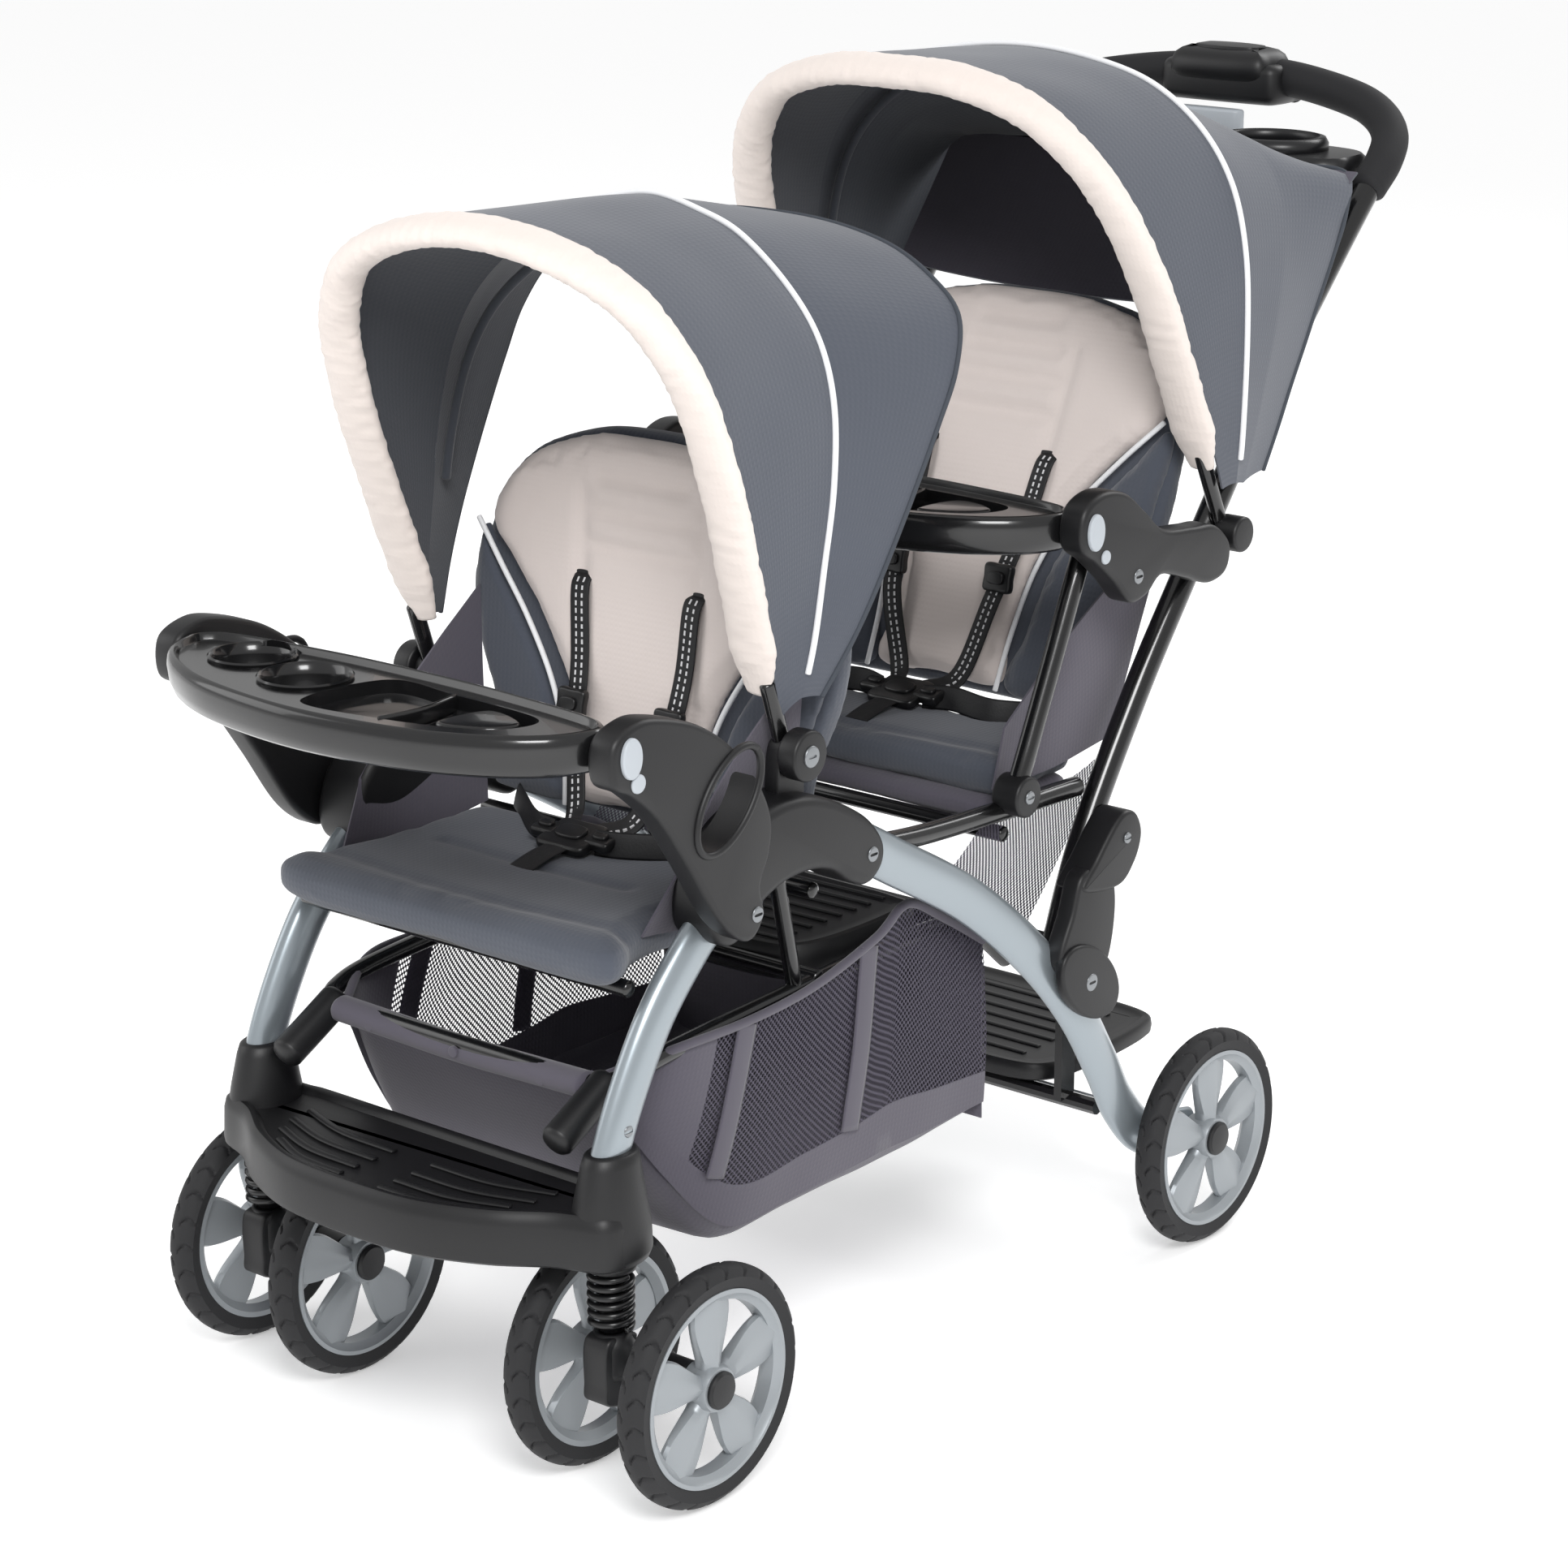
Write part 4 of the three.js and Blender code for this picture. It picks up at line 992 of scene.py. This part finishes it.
def stuffed(thing, swell):
    """Blows the pad up as cloth, no point further than swell mm, and keeps the result as its shape."""
    scene = bpy.context.scene
    before = np.array([v.co for v in thing.data.vertices])
    cloth = thing.modifiers.new("filling", "CLOTH")
    cloth.settings.use_pressure = True
    cloth.settings.uniform_pressure_force = 4
    cloth.settings.effector_weights.gravity = 0
    cloth.settings.quality = 4
    cloth.point_cache.frame_start = 1
    cloth.point_cache.frame_end = 20
    for now in range(1, 21):
        scene.frame_set(now)
    shape = thing.evaluated_get(bpy.context.evaluated_depsgraph_get()).data
    moved = np.array([v.co for v in shape.vertices]) - before
    thing.modifiers.clear()
    scene.frame_set(1)
    length = np.linalg.norm(moved, axis=1)[:, None] + 1e-12
    moved *= np.minimum(length, swell / 1000) / length
    thing.data.vertices.foreach_set("co", (before + moved).astype(np.float32).ravel())
    thing.data.update()
    return thing


def pressed(thing, lines, depth, width):
    """Sews lines into a pad: the surface dips by depth mm within width mm of each."""
    mesh = thing.data
    co = np.array([v.co for v in mesh.vertices])
    normals = np.array([v.normal for v in mesh.vertices])
    marks = np.vstack([at(spline(line, 60)) for line in lines])
    near = np.full(len(co), 1e9)
    for start in range(0, len(marks), 40):
        gap = np.linalg.norm(co[:, None] - marks[None, start:start + 40], axis=2).min(axis=1)
        near = np.minimum(near, gap)
    dip = depth / 1000 * np.exp(-((near * 1000 / width) ** 2))
    rumple = np.array([0.0007 * wobble(*(c * 1000), 45) for c in co])
    mesh.vertices.foreach_set("co", (co - normals * (dip + rumple)[:, None]).astype(np.float32).ravel())
    mesh.update()
    return thing


def pad(name, outline, low, high, material, body, replaces, plane, origin, swell=6, edge=8, voxel=5,
        seams=(), depth=3, width=6,
        mirror=True, fill=0.7):
    made = stack(name, outline, rounded(low, high, edge), material, None, plane=plane, origin=origin,
                 mirror=mirror, count=200)
    stuffed(remeshed(made, voxel), swell)
    if seams:
        pressed(made, seams, depth, width)
    finer = made.modifiers.new("finer", "SUBSURF")
    finer.levels = finer.render_levels = 1
    applied(made)
    weave_uvs(made)
    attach(made, body)
    if replaces:
        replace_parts(made, *replaces)
    return made


def leaning(tilt):
    """A seat back's own directions: across, up the back, and out of its front."""
    return np.array([[1, 0, 0], [0, math.sin(tilt), math.cos(tilt)], [0, -math.cos(tilt), math.sin(tilt)]])


def seat_back(label, origin, tilt, thick, outline, edge_curve, top, slots, tufts):
    """A padded back: cream centre, slate wings behind white piping, with sewn tufts and harness slots."""
    plane, origin = leaning(tilt), np.asarray(origin, float)
    body = label + "_seat_back"

    def spot(a, b, out):
        return origin + a * plane[0] + b * plane[1] + out * plane[2]

    pad(label + "_back_shell", outline, 1, thick - 12, seat_cloth, body, [body], plane, origin, swell=3,
        edge=6)
    centre = edge_curve + [(x, s) for x, s in outline if s > edge_curve[-1][1] + 6]
    centre = [(0, edge_curve[0][1])] + [(x - (3 if x > 8 else 0), s) for x, s in centre]
    seams = [[spot(-x, s, thick + 2), spot(0, s - 1, thick + 2), spot(x, s, thick + 2)] for x, s in tufts]
    seams += [[spot(m * 66, top - 60, thick + 2), spot(m * 60, 120, thick + 2),
               spot(m * 52, 40, thick + 2)] for m in (1, -1)]
    pad(label + "_back_centre", centre, thick - 14, thick, cream_cloth, body, [], plane, origin, swell=7,
        edge=6, seams=seams, depth=7,
        width=8)
    for name, side in SIDES:
        wing = [(x + 3, s) for x, s in edge_curve] + [(x - 2, s)
                                                      for x, s in reversed(outline) if s < edge_curve[-1][1] and x > 40]
        wing = [(side * x, s) for x, s in wing]
        pad(f"{label}_wing_{name}", wing, thick - 14, thick - 2, seat_cloth, body, [], plane, origin,
            swell=6, edge=5, mirror=False)
        line = [spot(side * (x + 1), s, thick + 3.5) for x, s in edge_curve]
        beading(f"{label}_back_piping_{name}", line, 2.4, white_piping, body, 90)
        stack(f"{label}_slot_{name}", [(side * slots[0] - 13, slots[1] - 2.5),
                                       (side * slots[0] + 13, slots[1] - 2.5),
              (side * slots[0] + 13, slots[1] + 2.5), (side * slots[0] - 13, slots[1] + 2.5)],
              rounded(thick - 2, thick + 4.4, 1),
              webbing, body, plane=plane, origin=origin, count=32)
    return spot


FRONT_BACK = [(0, 2), (150, 2), (166, 12), (172, 70), (194, 132), (200, 176), (192, 226), (172, 272),
              (136, 306), (76, 328), (30, 333)]
FRONT_EDGE = [(72, 6), (74, 40), (80, 76), (96, 116), (124, 160), (156, 200), (184, 236)]
front_spot = seat_back("front", (0, -262, 458), 0.08, 38, FRONT_BACK, FRONT_EDGE, 333, (62, 206),
                       [(60, 262), (44, 290), (58, 232)])
REAR_BACK_PAD = [(0, 2), (150, 2), (168, 12), (174, 70), (187, 122), (190, 180), (189, 236), (178, 320),
                 (140, 358), (76, 376), (30, 380)]
REAR_EDGE = [(72, 6), (74, 60), (82, 120), (104, 176), (140, 226), (176, 268)]
rear_spot = seat_back("rear", (0, 142, 486), 0.4, 36, REAR_BACK_PAD, REAR_EDGE, 380, (68, 224),
                      [(62, 290), (48, 318), (60, 258), (40, 344)])

FRONT_SEAT = [(0, -548), (120, -547), (180, -541), (188, -520), (176, -488), (168, -440), (166, -330),
              (150, -306), (60, -303)]
pad("front_seat_cushion", FRONT_SEAT, 424, 452, seat_cloth, "frame", ["front_seat_pad"], PLAN, (0, 0, 0),
    swell=7, edge=9,
    seams=[[(-170, -500, 456), (0, -512, 456), (170, -500, 456)],
           [(-100, -420, 458), (0, -424, 458), (100, -420, 458)]], depth=4, width=7)
REAR_SEAT = [(0, -34), (120, -33), (176, -26), (184, -6), (180, 50), (168, 92), (60, 98)]
pad("rear_seat_cushion", REAR_SEAT, 458, 485, seat_cloth, "frame", ["rear_seat_pad"], PLAN, (0, 0, 0),
    swell=6, edge=9,
    seams=[[(-160, 0, 488), (0, -8, 488), (160, 0, 488)]], depth=4, width=7)
pad("rear_seat_underlay", [(x, y - 6) for x, y in REAR_SEAT], 436, 453, side_cloth, "frame", [], PLAN,
    (0, 0, 0), swell=4, edge=6)


def side_panel(name, outline_low, outline_high, inner, outer_x, side, body="frame", bulge=8):
    """Side cloth between the cushion's edge and the arms: rows run from the low line up to the high one."""
    low, high = spline(outline_low, 24), spline(outline_high, 24)
    grid = []
    for t in np.linspace(0, 1, 12):
        line = low * (1 - t) + high * t
        x = inner + (outer_x - inner) * t
        grid.append([(side * (x + bulge * math.sin(math.pi * t) * math.sin(math.pi * k / 23)
                              + 1.5 * wobble(y, z, 0, 60)), y, z)
                     for k, (y, z) in enumerate(line)])
    cloth_grid(name, np.array(grid), side_cloth, side_cloth, body,
               (0, float(low[:, 0].mean()), float(high[:, 1].mean())))


for label, side in SIDES:
    side_panel("front_side_cloth_" + label, [(-476, 446), (-400, 440), (-300, 452)],
               [(-440, 500), (-392, 560), (-292, 640)], 168, 180, side,
               bulge=3)
    side_panel("rear_side_cloth_" + label, [(-44, 470), (40, 470), (128, 480)],
               [(-30, 522), (60, 585), (212, 668)], 184, 186, side, bulge=2)


# ---------------------------------------------------------------- harnesses

def strap(name, path, body=None, half=10, marked=True, across=(1, 0, 0)):
    """Flat webbing with a double row of white stitches down its middle. Gives the webbing and stitches."""
    made = tube(name, path, (half, 0.9), webbing, body, sides=10, steps=60, across=across, round_ends=False)
    parts = [made]
    if marked:
        line = spline(path, 400)
        run = np.gradient(line, axis=0)
        run /= np.linalg.norm(run, axis=1)[:, None]
        side = np.asarray(across, float) - run * (run @ np.asarray(across, float))[:, None]
        side /= np.linalg.norm(side, axis=1)[:, None]
        face = np.cross(run, side)
        length = np.concatenate([[0], np.cumsum(np.linalg.norm(np.diff(line, axis=0), axis=1))])
        verts, faces = [], []
        for start in np.arange(4, length[-1] - 6, 6.5):
            for row in (-3.2, 3.2):
                ends = [np.searchsorted(length, start + k) for k in (0, 3.8)]
                corners = [line[e] + side[e] * (row + w) + face[e] * out for out in (-1.3,
                    1.3) for e in ends for w in (-0.8, 0.8)]
                base = len(verts)
                verts += corners
                faces += [tuple(base + k for k in f) for f in ((0, 1, 3, 2), (4, 6, 7, 5), (0, 4, 5, 1),
                                                               (2, 3, 7, 6), (0, 2, 6, 4), (1, 5, 7, 3))]
        parts.append(piece(name + "_stitches", verts, faces, stitching, body, flat=True))
    return parts


def buckle(name, centre, size, body, tilt=0.0):
    """A moulded buckle with a raised release bar."""
    x, y, z = centre
    w, h = size
    plane = leaning(tilt)
    shell = stack(name + "_shell", [(-w, -h), (0, -h * 1.08), (w, -h), (w * 1.05, 0), (w, h), (0, h * 1.08),
                                    (-w, h), (-w * 1.05, 0)],
                  rounded(0, 9, 3), buckle_plastic, body, plane=plane, origin=(x, y, z), count=64)
    bar = stack(name + "_bar", [(-w * 0.5, -h * 0.4), (w * 0.5, -h * 0.4), (w * 0.5, h * 0.4),
                                (-w * 0.5, h * 0.4)], rounded(8, 12, 1.5),
                buckle_plastic, body, plane=plane, origin=(x, y, z), count=48)
    return [shell, bar]


def harness(label, spot, slot_at, hub, lap_y, floor, out):
    """A five-point harness from the back's slots to the centre buckle."""
    low, high = at([0, hub[1], floor + 14]), at(spot(0, slot_at[1], 40))
    for name, side in SIDES:
        top = spot(side * slot_at[0], slot_at[1], out)
        path = [top, spot(side * (slot_at[0] - 1), slot_at[1] - 14, out + 6),
                spot(side * (slot_at[0] - 5), slot_at[1] - 70, out + 7),
                spot(side * (slot_at[0] - 12), 82, out + 16), (side * 34, hub[1] + 40, floor + 26),
                (side * 15, hub[1] + 12, floor + 16)]
        for part in strap(f"{label}_shoulder_strap_{name}", path):
            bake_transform(part)
        middle = spline(path, 60)[27]
        for part in buckle(f"{label}_adjuster_{name}", middle + np.array([0, -2, -4]), (14, 12), None, 0.2):
            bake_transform(part)
        strap(f"{label}_waist_strap_{name}", [(side * 132, lap_y, floor + 8),
                                              (side * 96, lap_y - 30, floor + 12),
                                              (side * 52, hub[1] + 8, floor + 14),
                                              (side * 24, hub[1], floor + 13)], "frame", half=11,
              marked=False, across=(0, 0.35, 1))
        join_pieces(f"{label}_waist_clip_{name}",
                    buckle(f"{label}_clip_{name}", (side * 30, hub[1] + 2, floor + 10), (12, 9), "frame",
                           1.35))
    strap(label + "_crotch_strap", [(0, hub[1] - 66, floor + 2), (0, hub[1] - 40, floor + 8),
                                    (0, hub[1] - 14, floor + 11)], "frame", half=13,
          marked=False)
    join_pieces(label + "_harness_buckle", buckle(label + "_centre_buckle", (0, hub[1], floor + 9),
                                                  (24, 19), "frame", 1.3))


harness("front", front_spot, (62, 206), (0, -372), -300, 456, 42)
harness("rear", rear_spot, (68, 224), (0, 66), 100, 488, 40)


# ---------------------------------------------------------------- basket

BASKET_TOP = [(-500, 330, 140), (-440, 346, 172), (-361, 348, 178), (-280, 356, 180), (-200, 378, 182),
              (-162, 398, 184), (-110, 372, 184),
              (-55, 338, 184)]
BASKET_LOW = [(-503, 319, 138), (-450, 226, 160), (-393, 163, 176), (-300, 163, 180), (-180, 166, 182),
              (-120, 168, 182), (-48, 174, 182)]


def basket():
    top, low = spline(BASKET_TOP, 60), spline(BASKET_LOW, 60)
    grid = []
    for (y0, z0, w0), (y1, z1, w1) in zip(top, low):
        corner = 26
        sides = [(w0, y0, z0 - 1)]
        for t in (0.12, 0.25, 0.38, 0.5, 0.62, 0.74, 0.84, 0.92):
            bulge = 5 * math.sin(math.pi * t)
            sides.append((w0 + (w1 - w0) * t + bulge, y0 + (y1 - y0) * t, z0 + (z1 - z0) * t))
        turn = [(w1 - corner + corner * math.cos(a), y1,
                 z1 + corner - corner * math.sin(a)) for a in np.linspace(0.35, math.pi / 2, 5)]
        floor = [(w1 * k, y1, z1 - 3 * math.cos(k * math.pi / 2)) for k in (0.6, 0.3)]
        half = sides + turn + floor
        row = half + [(0, y1, z1 - 4)] + [(-x, y, z) for x, y, z in reversed(half)]
        grid.append([(x + 1.2 * wobble(y, z, x, 50), y, z) for x, y, z in row])
    return np.array(grid)


body_grid = basket()
net_rows = 7
for label, side in SIDES:
    columns = slice(0, net_rows) if side > 0 else slice(-net_rows, None)
    cloth_grid("basket_net_" + label, body_grid[14:, columns], basket_net, basket_net, "frame",
               (0, -250, 260), 0.8)
    front = body_grid[:15, columns]
    cloth_grid("basket_corner_" + label, front, side_cloth, side_cloth, "frame", (0, -250, 260), 1.2)
    top_edge = [(side * (w + 1), y, z) for y, z, w in spline(BASKET_TOP, 40)]
    beading("basket_rim_" + label, top_edge, 4, side_cloth, "frame", 120)
    for k, y in enumerate((-361, -215)):
        i = int(np.argmin(np.abs(body_grid[:, 0, 1] - y)))
        line = body_grid[i, columns] if side > 0 else body_grid[i, columns][::-1]
        path = [(side * (abs(p[0]) + 2.2), p[1], p[2]) for p in line]
        tube(f"basket_strap_{label}_{k}", path, (12, 0.9), side_cloth, "frame", sides=8, steps=30,
             across=(0, 1, 0), round_ends=False)
    # Tall net from the basket's rear corner up to the rear seat.
    rise = []
    for t in np.linspace(0, 1, 16):
        for k in np.linspace(0, 1, 12):
            low = np.array([side * 186, -148 + 156 * t, 392 - 54 * t])
            high = np.array([side * 190, -70 + 182 * t, 442 + 28 * t * t])
            rise.append(low * (1 - k) + high * k + np.array([side * 3 * math.sin(math.pi * k), 0, 0]))
    cloth_grid("rear_net_" + label, np.array(rise).reshape(16, 12, 3), basket_net, basket_net, "frame",
               (0, 0, 380), 0.8)
tub = body_grid[:, net_rows - 1:-(net_rows - 1)]
cloth_grid("basket_tub", tub, side_cloth, side_cloth, "frame", (0, -250, 260), 1.2, replaces=["basket"])
roll = [(-136, -509, 326), (-70, -506, 323), (0, -505, 321), (70, -506, 323), (136, -509, 326)]
hem = tube("basket_front_roll", roll, (13, 11), side_cloth, "frame", sides=28, steps=80, across=(0, 1, 0))
for k, x in enumerate((-96, 0, 96)):
    turn = np.linspace(0, 2 * math.pi, 24, endpoint=False)
    stack(f"basket_snap_{k}", np.stack([x + 5 * np.cos(turn), 323 + 5 * np.sin(turn)], axis=1),
          rounded(516, 519.5, 1), side_cloth,
          "frame", plane=np.array([[1, 0, 0], [0, 0, 1], [0, -1, 0]], float), count=24)
back_wall = []
for z in np.linspace(0, 1, 10):
    for x in np.linspace(-1, 1, 30):
        back_wall.append((x * 183, -49 - 4 * z, 172 + z * 166))
cloth_grid("basket_back", np.array(back_wall).reshape(10, 30, 3), side_cloth, side_cloth, "frame",
           (0, -250, 260), 1.2)


# ---------------------------------------------------------------- what stays from the frame

for node, material in (("rear_axle", black_lacquer), ("platform_frame", black_lacquer),
                       ("brake_bar", button_plastic)):
    thing = frame["nodes"][node]
    dress(thing, material)
    soft_edge = thing.modifiers.new("moulded edge", "BEVEL")
    soft_edge.width = 0.0012
    soft_edge.segments = 3


# ---------------------------------------------------------------- floor, light and camera

bpy.ops.mesh.primitive_plane_add(size=60, location=(0, 0, 0))
floor = bpy.context.object
floor.name = "studio_floor"
paper = surface_finish("white studio paper", "#FAFAFA", "black_plastic", 0.95, Emission_Color=(1, 1, 1, 1),
                       Emission_Strength=0.36)
floor.data.materials.append(paper)
sky = bpy.data.worlds.new("studio")
sky.use_nodes = True
sky.node_tree.nodes["Background"].inputs["Color"].default_value = (1, 1, 1, 1)
sky.node_tree.nodes["Background"].inputs["Strength"].default_value = 0.62
bpy.context.scene.world = sky


def soft_light(name, place, size, power):
    lamp = bpy.data.lights.new(name, "AREA")
    lamp.shape = "SQUARE"
    lamp.size = size
    lamp.energy = power
    thing = bpy.data.objects.new(name, lamp)
    thing.location = place
    thing.rotation_euler = (Vector((0, 0, 0.5)) - Vector(place)).to_track_quat("-Z", "Y").to_euler()
    bpy.context.collection.objects.link(thing)


soft_light("key", (2.4, -2.6, 3.2), 1.4, 105)
soft_light("fill", (-3.2, -2.2, 2.2), 2.4, 30)
soft_light("back", (0.5, 3.4, 3.2), 2.0, 60)

camera = bpy.data.cameras.new("camera")
camera.sensor_width = 36
camera.lens = 92.15
camera.shift_x, camera.shift_y = 0.0312, -0.0133
camera.clip_end = 100
eye = bpy.data.objects.new("camera", camera)
eye.location = at([2133.8, -2691.3, 1459.4])
aim = Vector(at([0, -166.4, 486.5]))
eye.rotation_euler = (aim - eye.location).to_track_quat("-Z", "Y").to_euler()
bpy.context.collection.objects.link(eye)
bpy.context.scene.camera = eye
bpy.context.scene.view_settings.view_transform = "Standard"
